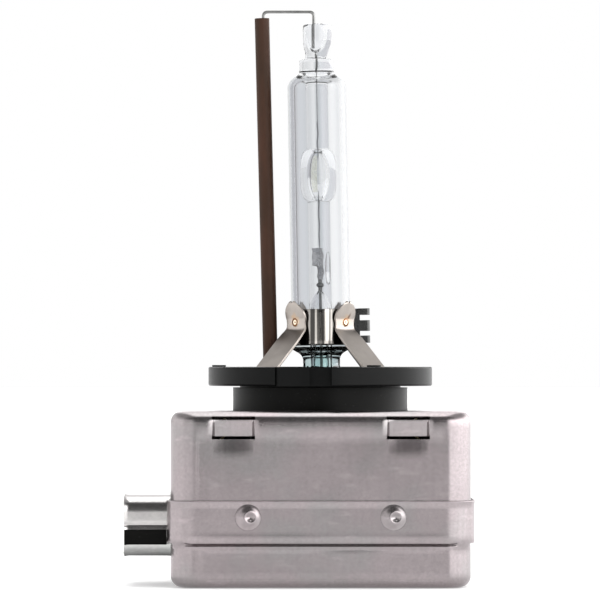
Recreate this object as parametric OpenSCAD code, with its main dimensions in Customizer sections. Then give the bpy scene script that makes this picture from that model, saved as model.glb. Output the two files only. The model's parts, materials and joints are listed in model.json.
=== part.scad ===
// Gas-discharge headlight lamp with its igniter in a two-shell metal case, in millimetres.
// The origin is on the lamp axis, at the centre of the reference flange's front face.
// +Z runs along the lamp axis to the burner's tip, -X is the connector side, -Y is the front.

/* [Flange and collar] */
// Diameter of the reference flange
flange_d = 32; // [31.6:0.1:32.4]
// Thickness of the reference flange
flange_t = 2.7; // [2.5:0.1:2.9]
// Diameter of the collar between the flange and the case
collar_d = 25; // [24.4:0.1:25.6]
// Distance from the flange's front face down to the top of the case
case_drop = 6.1; // [5.9:0.1:6.4]
// Width of the keyway in the flange's rim
keyway_w = 3.1; // [2.6:0.1:3.6]
// Depth of the keyway in the flange's rim
keyway_depth = 1.6; // [1.2:0.1:2]

/* [Case] */
// Width of the case, along X
case_w = 42; // [41.6:0.1:42.4]
// Depth of the case, along Y
case_d = 36; // [35.6:0.1:36.4]
// Height of the case
case_h = 24.65; // [24.3:0.05:25]
// Radius of the case's four upright corners
corner_r = 3.6; // [3.2:0.1:4]
// Radius of the case's top and bottom edges
edge_r = 1.65; // [1.3:0.05:1.8]
// Thickness of the case's sheet metal
sheet_t = 0.5; // [0.4:0.05:0.6]
// How far the band stands out from the case on each side
band_step = 0.6; // [0.55:0.05:0.7]
// Distance from the top of the case down to the band
band_drop = 12.5; // [12.3:0.1:12.7]
// Height of the band
band_h = 6; // [5.8:0.1:6.2]

/* [Windows and crimps] */
// Distance of each window from the case's middle
window_x = 12.15; // [11.8:0.05:12.5]
// Width of each window
window_w = 6; // [5.6:0.1:6.4]
// Height of each window
window_h = 3.2; // [3:0.1:3.4]
// How far the strip in each window is pressed inwards
window_press = 0.55; // [0.5:0.05:0.7]
// Distance of each round crimp from the case's middle
crimp_x = 10.1; // [9.8:0.1:10.4]
// Diameter of each round crimp
crimp_d = 3.1; // [2.8:0.1:3.4]

/* [Connector] */
// Width of the connector's metal shroud, along Y
shroud_w = 15; // [14.6:0.1:15.4]
// Height of the connector's metal shroud
shroud_h = 8.6; // [8.4:0.1:8.8]
// Distance from the lamp axis to the shroud's mouth
shroud_reach = 27.7; // [27.4:0.1:28]
// Offset of the shroud's middle towards the front
shroud_offset = 5; // [4.6:0.1:5.4]
// Number of contact pins
pin_count = 3; // [2:1:3]

/* [Legs and clamp] */
// Azimuth of each leg from the front or back
leg_azimuth = 48; // [45:1:50]
// Thickness of the leg's sheet
leg_t = 0.3; // [0.25:0.05:0.35]
// Width of a leg's foot
leg_w = 4.5; // [4.2:0.1:4.7]
// Bottom of the clamp band above the flange
clamp_low = 3.2; // [3.1:0.1:3.4]
// Height of the clamp band
clamp_h = 5.05; // [4.8:0.05:5.2]

/* [Glass] */
// Outer diameter of the glass jacket
jacket_d = 8.4; // [8.2:0.1:8.6]
// Wall of the glass jacket
jacket_wall = 1; // [0.9:0.1:1.1]
// Height of the middle of the light arc above the flange's front face
light_centre = 27.4; // [27:0.1:27.6]
// Distance between the two electrode tips
arc_gap = 4.25; // [4.1:0.05:4.4]
// Lean of the burner towards the ceramic tube, in degrees
burner_lean = 1; // [0.8:0.1:1.1]

/* [Return wire] */
// Diameter of the ceramic tube
tube_d = 2.1; // [2:0.1:2.2]
// Diameter of the return wire
wire_d = 0.45; // [0.4:0.05:0.5]
// Top of the return wire's bridge above the flange's front face
bridge_z = 50.9; // [50.8:0.1:51.2]

/* [Hidden] */
$fn = 64;
eps = 0.01;
// Heights of the case's main levels
case_top = -case_drop;
case_bottom = case_top - case_h;
band_top = case_top - band_drop;
band_bottom = band_top - band_h;
rim_gap = 0.1;
upper_rim = band_bottom + sheet_t + rim_gap;
bend_r = 0.6;
inner_corner_r = corner_r - sheet_t;
inner_edge_r = edge_r - sheet_t;
// Base body
core_d = flange_d - 9;
rim_recess = 0.25;
spigot_d = 20;
spigot_hole_d = 20.6;
spigot_z = -10.8;
base_bore_d = 6.6;
seat_boss_r = 14.5;
// Windows
window_top = case_top - 0.8;
window_side = 0.6;
strip_gap_top = 0.3;
strip_gap_low = 0.45;
// Marks on the flange's rim
recess_depth = 0.35;
recess_x = 6.4;
dimple_x = -4.6;
dimple_z = -0.65;
dimple_d = 1.1;
seat_boss_d = 2;
seat_boss_h = 0.25;
// Crimps
crimp_z = (band_top + band_bottom) / 2 + 0.7;
crimp_h = 0.45;
crater_d = 1;
// Connector
shroud_wall = 0.6;
shroud_mid_z = -22.2;
shroud_root = -case_w / 2 + 1.1;
root_flange_t = 0.4;
root_flange_rim = 0.8;
shroud_corner = 0.9;
seal_t = 0.6;
seal_rim = 0.4;
socket_floor = -case_w / 2 + 1.4;
insert_wall = 0.9;
insert_recess = 0.1;
bore_corner = 0.4;
socket_corner = 0.3;
passage_clear = 0.1;
slot_h = 2.1;
slot_z = -23.85;
pin_tip = -23.3;
pin_w = 1.2;
pin_t = 0.6;
pin_pitch = 3.6;
pin_tail = -12;
// Clamp and legs
clamp_t = 0.25;
clamp_r = jacket_d / 2 + clamp_t;
leg_r = clamp_r + 0.08;
leg_bend_z = 5.2;
leg_foot_r = 10.45;
leg_foot_z = -0.6;
leg_root_z = -4.5;
leg_slope = atan((leg_foot_r - leg_r) / (leg_bend_z - leg_foot_z));
head_w = 4;
waist_w = 3.8;
lobe_d = 4;
lobe_z = 7.15;
lobe_start = -18;
lobe_bend_z = 7;
waist_z = 6.3;
head_low = 5.4;
foot_high = 4;
lobe_out = 0.7;
head_top = lobe_z + lobe_d / 2;
finger_z = [3.85, 5.8, 7.8];
finger_h = [1.05, 1.55, 0.95];
finger_x = 5.4;
finger_end = 7.05;
// Glass jacket
jacket_r = jacket_d / 2;
cavity_r = jacket_r - jacket_wall;
lean_z = 11;
jacket_low = 2.2;
jacket_high = 42.1;
shoulder_r = 2.2;
heel_r = 0.7;
neck_r = 2.65;
neck_fillet_r = 1;
ring_r = 2.45;
ring_top = 44.1;
ring_round = 0.4;
cavity_low = 3.9;
cavity_high = 40.4;
cavity_round = 1.2;
stem_r = 1.6;
stem_low = -4.5;
// Discharge vessel
bulge_r = 2.6;
bulge_half = 4;
chamber_r = 1.35;
chamber_half = 3.2;
film_t = 0.08;
film_w = 1.4;
film_low = 1;
film_high = 2.2;
stub_r = 2.05;
stub_top = 49.1;
stub_low = 45.2;
funnel_r = 1.25;
funnel_low = 45;
skirt_r = 1.1;
skirt_top = 11;
skirt_low = 9;
// Electrodes, foils and leads
electrode_r = 0.12;
upper_tip = light_centre + arc_gap / 2;
lower_tip = light_centre - arc_gap / 2;
foil_t = 0.08;
upper_foil_low = 35.2;
upper_foil_high = 40.8;
upper_foil_w = 1.4;
lower_foil_low = 12.5;
lower_foil_step = 14.5;
lower_foil_high = 17;
lower_foil_w = 1.3;
lower_foil_neck = 0.7;
lower_foil_right = 0.35;
lead_r = 0.2;
bead_r = 0.38;
bead_z = 11.7;
// Ceramic tube and return wire
tube_foot_x = -7.1;
tube_lean = 1.44;
tube_low = -5;
tube_top = 49.95;
tube_bore = 0.9;
wire_bend_r = 0.6;
wire_drop_x = -0.93;
wire_end_z = 45.6;
wire_low = -12;
wire_shift = 0.2;
// Igniter tray and lid
tray_w = case_w - 2 * sheet_t - 0.6;
tray_d = case_d - 2 * sheet_t - 0.6;
tray_low = case_bottom + sheet_t + 0.3;
tray_top = -12;
tray_wall = 1.2;
tray_floor = tray_low + tray_wall;
tray_recess = 0.9;
insert_end = tray_wall - tray_w / 2 + 1;
lid_t = spigot_z - tray_top;
lead_hole_d = 5;
wire_hole_d = 2.6;
divider_t = 0.8;
divider_top = tray_top - 2;
divider_y = -0.4;
divider_notch = 2;
// Transformer
coil_y = 7.4;
coil_z = -20.4;
rod_r = 2.25;
former_r = 3.2;
flange_r = 6.4;
flange_w = 0.8;
chamber_count = 7;
chamber_w = 3.6;
coil_len = chamber_count * (chamber_w + flange_w) + flange_w;
coil_r = 5.6;
primary_r = 5.2;
primary_x = -12.6;
turn_count = 4;
// Small igniter parts
capacitor_size = [13, 6.4, 9];
capacitor_x = 1.5;
part_y = -9.6;
gap_x = 13.6;
gap_r = 3.4;
gap_len = 5;
cap_len = 0.8;
resistor_x = 0;
resistor_y = -3.4;
resistor_r = 1.2;
resistor_len = 6.4;
resistor_lead_r = 0.3;
resistor_reach = resistor_len / 2 + 3;
strip_w = 1.2;
strip_t = 0.4;
terminal_r = 0.9;
spring_x = 15.2;
sleeve_r = 0.8;

// ---- Shared shapes ----

// Everything on the burner's own axis, which leans about a point inside the clamp
module on_burner_axis() {
    translate([0, 0, lean_z]) rotate([0, -burner_lean, 0]) translate([0, 0, -lean_z]) children();
}

// Everything on the ceramic tube's axis, with its foot at the flange's front face
module on_tube_axis() {
    translate([tube_foot_x, 0, 0]) rotate([0, -tube_lean, 0]) children();
}

module front_and_back() {
    children();
    mirror([0, 1, 0]) children();
}

// Upright section through a drawn shell: half its width, its height, and its two edge radii
module shell_section(half, height, low_r, high_r) {
    difference() {
        translate([-half, 0]) square([2 * half, height]);
        for (side = [-1, 1]) {
            if (low_r > 0) difference() {
                translate([side * half, 0]) square(2 * low_r, center = true);
                translate([side * (half - low_r), low_r]) circle(low_r);
            }
            if (high_r > 0) difference() {
                translate([side * half, height]) square(2 * high_r, center = true);
                translate([side * (half - high_r), height - high_r]) circle(high_r);
            }
        }
    }
}

// Block with upright corners of one radius and its own radii round the bottom and the top
module drawn_block(w, d, low, high, corner, low_r, high_r) {
    height = high - low;
    translate([0, 0, low]) {
        rotate([90, 0, 90]) linear_extrude(w - 2 * corner, center = true)
            shell_section(d / 2, height, low_r, high_r);
        rotate([90, 0, 0]) linear_extrude(d - 2 * corner, center = true)
            shell_section(w / 2, height, low_r, high_r);
        for (x = [-1, 1], y = [-1, 1])
            translate([x * (w / 2 - corner), y * (d / 2 - corner), 0]) rotate_extrude()
                intersection() {
                    shell_section(corner, height, low_r, high_r);
                    translate([0, -1]) square([corner + 1, height + 2]);
                }
    }
}

// Flat plate with round corners
module round_plate(w, d, low, high, corner) {
    translate([0, 0, low]) linear_extrude(high - low) {
        square([w - 2 * corner, d], center = true);
        square([w, d - 2 * corner], center = true);
        for (x = [-1, 1], y = [-1, 1])
            translate([x * (w / 2 - corner), y * (d / 2 - corner)]) circle(corner);
    }
}

module ring(outer_r, inner_r, low, high) {
    translate([0, 0, low]) difference() {
        cylinder(r = outer_r, h = high - low);
        translate([0, 0, -1]) cylinder(r = inner_r, h = high - low + 2);
    }
}

module rod_along_x(r, x0, x1) {
    translate([x0, 0, 0]) rotate([0, 90, 0]) cylinder(r = r, h = x1 - x0);
}

// ---- Case ----

// Clear space in both shells for the connector's shroud
module shroud_passage() {
    translate([-case_w / 2, -shroud_offset, shroud_mid_z])
        cube([4, shroud_w + 2 * passage_clear, shroud_h + 2 * passage_clear], center = true);
}

// A lanced window: the wall is cut above and below a strip that is pressed inwards
module window_cut() {
    translate([-window_w / 2, -case_d / 2 - 1, window_top - window_h])
        cube([window_w, 1 + sheet_t + window_press + 0.4, window_h]);
}

module window_strip() {
    half = window_w / 2;
    skin = 0.1;
    pressed = skin + window_press;
    translate([0, -case_d / 2, window_top - window_h + strip_gap_low])
        linear_extrude(window_h - strip_gap_low - strip_gap_top)
            polygon([[-half, skin], [window_side - half, pressed], [half - window_side, pressed],
                [half, skin], [half, sheet_t], [half - window_side, pressed + sheet_t - skin],
                [window_side - half, pressed + sheet_t - skin], [-half, sheet_t]]);
}

module upper_shell() {
    color([0.66, 0.62, 0.62]) {
        difference() {
            drawn_block(case_w, case_d, upper_rim, case_top, corner_r, 0, edge_r);
            drawn_block(case_w - 2 * sheet_t, case_d - 2 * sheet_t, upper_rim - 1, case_top - sheet_t,
                inner_corner_r, 0, inner_edge_r);
            translate([0, 0, case_top - 2]) cylinder(d = spigot_hole_d, h = 3);
            shroud_passage();
            front_and_back() for (side = [-1, 1]) translate([side * window_x, 0, 0]) window_cut();
        }
        front_and_back() for (side = [-1, 1]) translate([side * window_x, 0, 0]) window_strip();
    }
}

// Round crimp in the band: a low dome with a small crater in its middle
module crimp() {
    dome_r = (pow(crimp_d / 2, 2) + pow(crimp_h, 2)) / (2 * crimp_h);
    face_y = case_d / 2 + band_step;
    translate([0, -face_y, crimp_z]) rotate([90, 0, 0]) difference() {
        intersection() {
            translate([0, 0, crimp_h - dome_r]) sphere(dome_r);
            cylinder(d = crimp_d + 1, h = crimp_h + 1);
        }
        translate([0, 0, crimp_h + crater_d / 6]) sphere(d = crater_d);
    }
}

module lower_shell() {
    band_w = case_w + 2 * band_step;
    band_d = case_d + 2 * band_step;
    band_corner = corner_r + band_step;
    clear = 2 * rim_gap;
    color([0.64, 0.6, 0.61]) {
        difference() {
            union() {
                drawn_block(case_w, case_d, case_bottom, band_top - 1, corner_r, edge_r, 0);
                drawn_block(band_w, band_d, band_bottom, band_top, band_corner, bend_r, 0);
            }
            drawn_block(case_w - 2 * sheet_t, case_d - 2 * sheet_t, case_bottom + sheet_t,
                band_top + 1, inner_corner_r, inner_edge_r, 0);
            round_plate(case_w + clear, case_d + clear, upper_rim - rim_gap, band_top + 1,
                corner_r + rim_gap);
            shroud_passage();
        }
        front_and_back() for (side = [-1, 1]) translate([side * crimp_x, 0, 0]) crimp();
    }
}

// ---- Connector ----

module at_shroud() {
    translate([0, -shroud_offset, shroud_mid_z]) children();
}

// Sleeve of the given outer size along X, centred on the shroud
module sleeve_block(x0, x1, w, h, corner) {
    at_shroud() translate([x0, 0, 0]) rotate([90, 0, 90]) linear_extrude(x1 - x0) {
        square([w - 2 * corner, h], center = true);
        square([w, h - 2 * corner], center = true);
        for (y = [-1, 1], z = [-1, 1])
            translate([y * (w / 2 - corner), z * (h / 2 - corner)]) circle(corner);
    }
}

module connector_shroud() {
    bore_w = shroud_w - 2 * shroud_wall;
    bore_h = shroud_h - 2 * shroud_wall;
    flange_low = -case_w / 2 + sheet_t;
    color([0.68, 0.67, 0.68]) difference() {
        union() {
            sleeve_block(-shroud_reach, shroud_root, shroud_w, shroud_h, shroud_corner);
            sleeve_block(flange_low, flange_low + root_flange_t, shroud_w + 2 * root_flange_rim,
                shroud_h + 2 * root_flange_rim, 1);
        }
        sleeve_block(-shroud_reach - 1, shroud_root + 1, bore_w, bore_h, bore_corner);
        translate([-shroud_reach - 1, -shroud_offset - shroud_w / 2 - 1, slot_z - slot_h / 2])
            cube([shroud_reach - case_w / 2 + 0.4, shroud_wall + 1.2, slot_h]);
    }
}

module connector_insert() {
    body_w = shroud_w - 2 * shroud_wall;
    body_h = shroud_h - 2 * shroud_wall;
    color([0.1, 0.1, 0.1]) difference() {
        sleeve_block(-shroud_reach + insert_recess, insert_end, body_w, body_h, bore_corner);
        sleeve_block(-shroud_reach - 1, socket_floor, body_w - 2 * insert_wall,
            body_h - 2 * insert_wall, socket_corner);
        pin_shapes();
    }
}

module connector_seal() {
    color([0.35, 0.13, 0.1]) difference() {
        sleeve_block(shroud_root, shroud_root + seal_t,
            shroud_w + 2 * seal_rim, shroud_h + 2 * seal_rim, 1);
        sleeve_block(shroud_root - 1, shroud_root + 2, shroud_w - 2 * shroud_wall,
            shroud_h - 2 * shroud_wall, bore_corner);
    }
}

module pin_shapes() {
    at_shroud() for (i = [0 : pin_count - 1])
        translate([pin_tip, (i - (pin_count - 1) / 2) * pin_pitch - pin_w / 2, -pin_t / 2])
            cube([pin_tail - pin_tip, pin_w, pin_t]);
}

module contact_pins() {
    color([0.8, 0.72, 0.45]) pin_shapes();
}

// ---- Base ----

module leg_roots() {
    for (azimuth = [-90 - leg_azimuth, -90 + leg_azimuth, 90 - leg_azimuth, 90 + leg_azimuth])
        rotate(azimuth) translate([leg_foot_r, -leg_w / 2, leg_root_z])
            cube([leg_t, leg_w, flange_t - leg_root_z]);
}

module base_body() {
    collar_top = -flange_t - rim_recess;
    color([0.09, 0.09, 0.09]) difference() {
        union() {
            translate([0, 0, collar_top]) cylinder(d = core_d, h = leg_foot_z - collar_top);
            translate([0, 0, case_top]) cylinder(d = collar_d, h = collar_top - case_top);
            translate([0, 0, spigot_z]) cylinder(d = spigot_d, h = case_top - spigot_z);
        }
        translate([0, 0, spigot_z - 1]) cylinder(d = base_bore_d, h = -spigot_z + 2);
        leg_roots();
        on_tube_axis() translate([0, 0, tube_low]) cylinder(d = tube_d, h = 10);
        on_tube_axis() translate([0, 0, wire_low - 1]) cylinder(d = tube_bore, h = 20);
    }
}

module flange_ring() {
    rim_r = flange_d / 2;
    round_r = 0.25;
    color([0.16, 0.17, 0.18]) {
        difference() {
            translate([0, 0, -flange_t]) rotate_extrude() intersection() {
                shell_section(rim_r, flange_t, round_r, round_r);
                translate([core_d / 2, -1]) square([rim_r, flange_t + 2]);
            }
            translate([-keyway_w / 2, -rim_r - 1, -flange_t - 1])
                cube([keyway_w, keyway_depth + 1, flange_t + 2]);
            intersection() {
                ring(rim_r + 1, rim_r - recess_depth, -flange_t - 1, 1);
                translate([-recess_x, -rim_r - 1, -flange_t - 1])
                    cube([recess_x - keyway_w / 2, 6, flange_t + 2]);
            }
            translate([dimple_x, -rim_r + 0.2, dimple_z]) rotate([90, 0, 0])
                cylinder(d = dimple_d, h = 1, center = true);
        }
        for (i = [0 : 2]) rotate(i * 120 - 59) translate([seat_boss_r, 0, -eps])
            cylinder(d = seat_boss_d, h = seat_boss_h + eps);
    }
}

module base_seal() {
    high = case_top - sheet_t;
    color([0.45, 0.16, 0.12]) ring(spigot_d / 2 + 1.5, spigot_d / 2, high - 0.8, high);
}

// ---- Clamp and legs ----

// Right half of a leg's outline seen square on: wide foot, head with a slight waist, round lobe
function leg_edge() = concat(
    [[leg_w / 2, leg_root_z], [leg_w / 2, foot_high], [head_w / 2, head_low], [waist_w / 2, waist_z]],
    [for (a = [lobe_start : 12 : 90]) [lobe_d / 2 * cos(a), lobe_z + lobe_d / 2 * sin(a)]]);

module leg_outline() {
    edge = leg_edge();
    polygon(concat(edge, [for (i = [len(edge) - 2 : -1 : 0]) [-edge[i][0], edge[i][1]]]));
}

// Bent sheet of a leg seen from its side, with its thickness outwards
module leg_path() {
    slope_k = leg_t * tan(leg_slope / 2);
    polygon([[leg_r + lobe_out, head_top + 0.5], [leg_r, lobe_bend_z], [leg_r, leg_bend_z],
        [leg_foot_r, leg_foot_z], [leg_foot_r, leg_root_z], [leg_foot_r + leg_t, leg_root_z],
        [leg_foot_r + leg_t, leg_foot_z + slope_k], [leg_r + leg_t, leg_bend_z + slope_k],
        [leg_r + leg_t, lobe_bend_z], [leg_r + leg_t + lobe_out, head_top + 0.5]]);
}

module leg(azimuth) {
    color([0.62, 0.59, 0.56]) rotate(azimuth) intersection() {
        rotate([90, 0, 0]) linear_extrude(leg_w + 1, center = true) leg_path();
        rotate([90, 0, 90]) linear_extrude(leg_foot_r + 2) leg_outline();
    }
}

module leg_front_left() { leg(-90 - leg_azimuth); }
module leg_front_right() { leg(-90 + leg_azimuth); }
module leg_rear_left() { leg(90 + leg_azimuth); }
module leg_rear_right() { leg(90 - leg_azimuth); }

module clamp_band() {
    lug_w = 0.6;
    roll_r = 0.4;
    color([0.6, 0.58, 0.56]) on_burner_axis() {
        ring(clamp_r, jacket_r, clamp_low, clamp_low + clamp_h);
        difference() {
            translate([0, -lug_w / 2, clamp_low + 0.1]) cube([finger_x, lug_w, clamp_h - 0.1]);
            translate([0, 0, clamp_low - 1]) cylinder(r = jacket_r + clamp_t / 2, h = clamp_h + 2);
        }
        for (i = [0 : 2]) translate([0, 0, finger_z[i] - finger_h[i] / 2]) {
            translate([finger_x - eps, -lug_w / 2, 0])
                cube([finger_end - roll_r - finger_x, lug_w, finger_h[i]]);
            translate([finger_end - roll_r, 0, 0]) cylinder(r = roll_r, h = finger_h[i]);
        }
    }
}

// ---- Glass ----

module outer_jacket() {
    color([0.85, 0.9, 0.92, 0.35]) on_burner_axis() rotate_extrude() difference() {
        union() {
            translate([0, jacket_low + heel_r])
                square([jacket_r, jacket_high - shoulder_r - jacket_low - heel_r]);
            translate([0, jacket_low]) square([jacket_r - heel_r, heel_r + eps]);
            translate([jacket_r - heel_r, jacket_low + heel_r]) circle(heel_r);
            intersection() {
                translate([jacket_r - shoulder_r, jacket_high - shoulder_r]) circle(shoulder_r);
                translate([jacket_r - shoulder_r, 0]) square([shoulder_r, jacket_high]);
            }
            translate([0, jacket_high - shoulder_r - eps])
                square([jacket_r - shoulder_r, shoulder_r + eps]);
            translate([0, stem_low + 1]) square([neck_r, jacket_low - stem_low]);
            difference() {
                translate([0, jacket_low - neck_fillet_r])
                    square([neck_r + neck_fillet_r, neck_fillet_r + eps]);
                translate([neck_r + neck_fillet_r, jacket_low - neck_fillet_r]) circle(neck_fillet_r);
            }
            translate([0, jacket_high - 0.5])
                square([ring_r - ring_round, ring_top - jacket_high + 0.5]);
            translate([0, jacket_high - 0.5])
                square([ring_r, ring_top - ring_round - jacket_high + 0.5]);
            translate([ring_r - ring_round, ring_top - ring_round]) circle(ring_round);
        }
        jacket_cavity();
        translate([-1, stem_low - 1]) square([stem_r + 1, ring_top - stem_low + 2]);
    }
}

module jacket_cavity() {
    height = cavity_high - cavity_low;
    translate([0, cavity_low]) square([cavity_r - cavity_round, height]);
    translate([0, cavity_low + cavity_round]) square([cavity_r, height - 2 * cavity_round]);
    for (z = [cavity_low + cavity_round, cavity_high - cavity_round])
        translate([cavity_r - cavity_round, z]) circle(cavity_round);
}

// Half section of a barrel or spindle: an arc through its waist and its two ends
module arc_section(waist_r, end_r, half) {
    arc_r = (pow(half, 2) + pow(waist_r - end_r, 2)) / (2 * (waist_r - end_r));
    intersection() {
        translate([waist_r - arc_r, 0]) circle(arc_r, $fn = 180);
        translate([0, -half]) square([waist_r, 2 * half]);
    }
}

module chamber_shape(r, half) {
    translate([0, 0, light_centre]) rotate_extrude() arc_section(r, 0, half);
}

module upper_electrode_shape() {
    translate([0, 0, upper_tip]) cylinder(r = electrode_r, h = upper_foil_low - upper_tip);
}

module lower_electrode_shape() {
    translate([0, 0, lower_foil_high]) cylinder(r = electrode_r, h = lower_tip - lower_foil_high);
}

module upper_foil_shape() {
    translate([-foil_t / 2, -upper_foil_w / 2, upper_foil_low])
        cube([foil_t, upper_foil_w, upper_foil_high - upper_foil_low]);
}

module lower_foil_shape() {
    translate([0, foil_t / 2, 0]) rotate([90, 0, 0]) linear_extrude(foil_t) {
        translate([lower_foil_right - lower_foil_w, lower_foil_step])
            square([lower_foil_w, lower_foil_high - lower_foil_step]);
        translate([lower_foil_right - lower_foil_neck, lower_foil_low])
            square([lower_foil_neck, lower_foil_step - lower_foil_low]);
    }
}

module upper_lead_shape() {
    translate([0, 0, upper_foil_high]) cylinder(r = lead_r, h = funnel_low - upper_foil_high);
}

module lower_lead_shape(low) {
    translate([0, 0, low]) cylinder(r = lead_r, h = lower_foil_low - low);
    translate([0, 0, bead_z]) sphere(bead_r);
}

module discharge_vessel() {
    color([0.85, 0.88, 0.92, 0.4]) on_burner_axis() difference() {
        rotate_extrude() difference() {
            union() {
                translate([0, stem_low]) square([stem_r, stub_low - stem_low]);
                translate([0, light_centre]) arc_section(bulge_r, stem_r, bulge_half);
                polygon([[0, ring_top + 0.1], [stem_r, ring_top + 0.1], [stub_r, stub_low], [0, stub_low]]);
                translate([0, stub_low]) square([stub_r, stub_top - stub_low]);
            }
            polygon([[0, funnel_low], [lead_r, funnel_low], [funnel_r, funnel_low + 2.4],
                [funnel_r, stub_top + 1], [0, stub_top + 1]]);
            polygon([[0, stem_low - 1], [skirt_r, stem_low - 1], [skirt_r, skirt_low], [lead_r, skirt_top],
                [0, skirt_top]]);
        }
        chamber_shape(chamber_r, chamber_half);
        upper_electrode_shape();
        lower_electrode_shape();
        upper_foil_shape();
        lower_foil_shape();
        upper_lead_shape();
        lower_lead_shape(skirt_top - 1);
    }
}

module salt_film() {
    color([0.78, 0.8, 0.55]) on_burner_axis() translate([0, 0, light_centre]) intersection() {
        rotate_extrude() difference() {
            arc_section(chamber_r, 0, chamber_half);
            translate([-film_t, 0]) arc_section(chamber_r, 0, chamber_half);
            translate([0, -chamber_half]) square([chamber_r, chamber_half - film_low]);
            translate([0, film_high]) square([chamber_r, chamber_half]);
        }
        translate([-2 * chamber_r, -film_w / 2, -chamber_half])
            cube([2 * chamber_r, film_w, 2 * chamber_half]);
    }
}

module upper_electrode() { color([0.35, 0.35, 0.37]) on_burner_axis() upper_electrode_shape(); }
module lower_electrode() { color([0.35, 0.35, 0.37]) on_burner_axis() lower_electrode_shape(); }
module upper_foil() { color([0.45, 0.45, 0.47]) on_burner_axis() upper_foil_shape(); }
module lower_foil() { color([0.45, 0.45, 0.47]) on_burner_axis() lower_foil_shape(); }
module upper_lead() { color([0.5, 0.5, 0.5]) on_burner_axis() upper_lead_shape(); }
module lower_lead() { color([0.5, 0.5, 0.5]) on_burner_axis() lower_lead_shape(wire_low); }

// ---- Return wire ----

module ceramic_tube() {
    color([0.27, 0.2, 0.16]) on_tube_axis() ring(tube_d / 2, tube_bore / 2, tube_low, tube_top);
}

// Quarter of a bend in the XZ plane, from going up to going towards +X
module wire_bend() {
    translate([wire_bend_r, 0, 0]) rotate([90, 0, 0]) intersection() {
        rotate_extrude() translate([wire_bend_r, 0]) circle(d = wire_d);
        translate([-2 * wire_bend_r, 0, -wire_d]) cube([2 * wire_bend_r, 2 * wire_bend_r, 2 * wire_d]);
    }
}

module return_wire() {
    arm_z = bridge_z - wire_bend_r;
    rise_x = tube_foot_x + wire_shift - tan(tube_lean) * tube_top;
    color([0.5, 0.5, 0.5]) {
        on_tube_axis() translate([wire_shift, 0, wire_low]) cylinder(d = wire_d, h = tube_top - wire_low);
        translate([rise_x, 0, tube_top]) sphere(d = wire_d);
        translate([rise_x, 0, tube_top]) cylinder(d = wire_d, h = arm_z - tube_top);
        translate([rise_x, 0, arm_z]) wire_bend();
        translate([0, 0, bridge_z])
            rod_along_x(wire_d / 2, rise_x + wire_bend_r, wire_drop_x - wire_bend_r);
        translate([wire_drop_x, 0, arm_z]) mirror([1, 0, 0]) wire_bend();
        translate([wire_drop_x, 0, wire_end_z]) cylinder(d = wire_d, h = arm_z - wire_end_z);
    }
}

module return_sleeve() {
    color([0.75, 0.75, 0.75]) on_tube_axis() translate([wire_shift, 0, 0])
        ring(sleeve_r, wire_d / 2, wire_low, wire_low + 2.5);
}

// ---- Igniter ----

module igniter_carrier() {
    color([0.13, 0.12, 0.12]) {
        difference() {
            drawn_block(tray_w, tray_d, tray_low, tray_top, inner_corner_r - 0.3, inner_edge_r, 0);
            round_plate(tray_w - 2 * tray_wall, tray_d - 2 * tray_wall, tray_floor, tray_top + 1, 0.8);
            sleeve_block(-tray_w / 2 - 1, insert_end, shroud_w - 2 * shroud_wall,
                shroud_h - 2 * shroud_wall, bore_corner);
            sleeve_block(-tray_w / 2 - 1, shroud_root + seal_t, shroud_w + 2 * tray_recess,
                shroud_h + 2 * tray_recess, 1);
        }
        difference() {
            translate([-tray_w / 2 + tray_wall - eps, divider_y - divider_t / 2, tray_floor - eps])
                cube([tray_w - 2 * tray_wall + 2 * eps, divider_t, divider_top - tray_floor]);
            translate([-16, divider_y - 1, divider_top - divider_notch])
                cube([6, 2, divider_notch + 1]);
        }
    }
}

module carrier_lid() {
    color([0.16, 0.15, 0.15]) difference() {
        round_plate(tray_w, tray_d, tray_top, tray_top + lid_t, inner_corner_r - 0.3);
        translate([0.4, 0, tray_top - 1]) cylinder(d = lead_hole_d, h = 4);
        translate([tube_foot_x, 0, tray_top - 1]) cylinder(d = wire_hole_d, h = 4);
    }
}

module at_coil() {
    translate([0, coil_y, coil_z]) children();
}

function flange_pos(i) = -coil_len / 2 + i * (chamber_w + flange_w);

module bobbin() {
    color([0.85, 0.8, 0.68]) difference() {
        union() {
            at_coil() rod_along_x(former_r, -coil_len / 2, coil_len / 2);
            at_coil() for (i = [0 : chamber_count])
                rod_along_x(flange_r, flange_pos(i), flange_pos(i) + flange_w);
            for (i = [0, chamber_count])
                translate([flange_pos(i), coil_y - flange_r, tray_floor])
                    cube([flange_w, 2 * flange_r, coil_z - tray_floor]);
        }
        at_coil() rod_along_x(rod_r, -coil_len, coil_len);
    }
}

module ferrite_core() {
    color([0.2, 0.2, 0.22]) at_coil() rod_along_x(rod_r, -coil_len / 2 - 0.6, coil_len / 2 + 0.6);
}

module winding_ring(x0, x1, r) {
    difference() {
        rod_along_x(r, x0, x1);
        rod_along_x(former_r, x0 - 1, x1 + 1);
    }
}

module secondary_winding() {
    color([0.65, 0.36, 0.16]) at_coil() for (i = [1 : chamber_count - 1])
        winding_ring(flange_pos(i) + flange_w, flange_pos(i + 1), coil_r);
}

module primary_winding() {
    turn_w = chamber_w / turn_count;
    color([0.75, 0.42, 0.2]) at_coil() for (i = [0 : turn_count - 1])
        winding_ring(flange_pos(0) + flange_w + i * turn_w + 0.1,
            flange_pos(0) + flange_w + (i + 1) * turn_w - 0.1, primary_r);
}

module ignition_capacitor() {
    color([0.72, 0.5, 0.22]) translate([capacitor_x, part_y, 0])
        drawn_block(capacitor_size[0], capacitor_size[1], tray_floor, tray_floor + capacitor_size[2],
            1, 0.4, 0.4);
}

module spark_gap() {
    color([0.9, 0.89, 0.86]) translate([gap_x, part_y, tray_floor + gap_r])
        rod_along_x(gap_r, -gap_len / 2, gap_len / 2);
}

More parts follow.
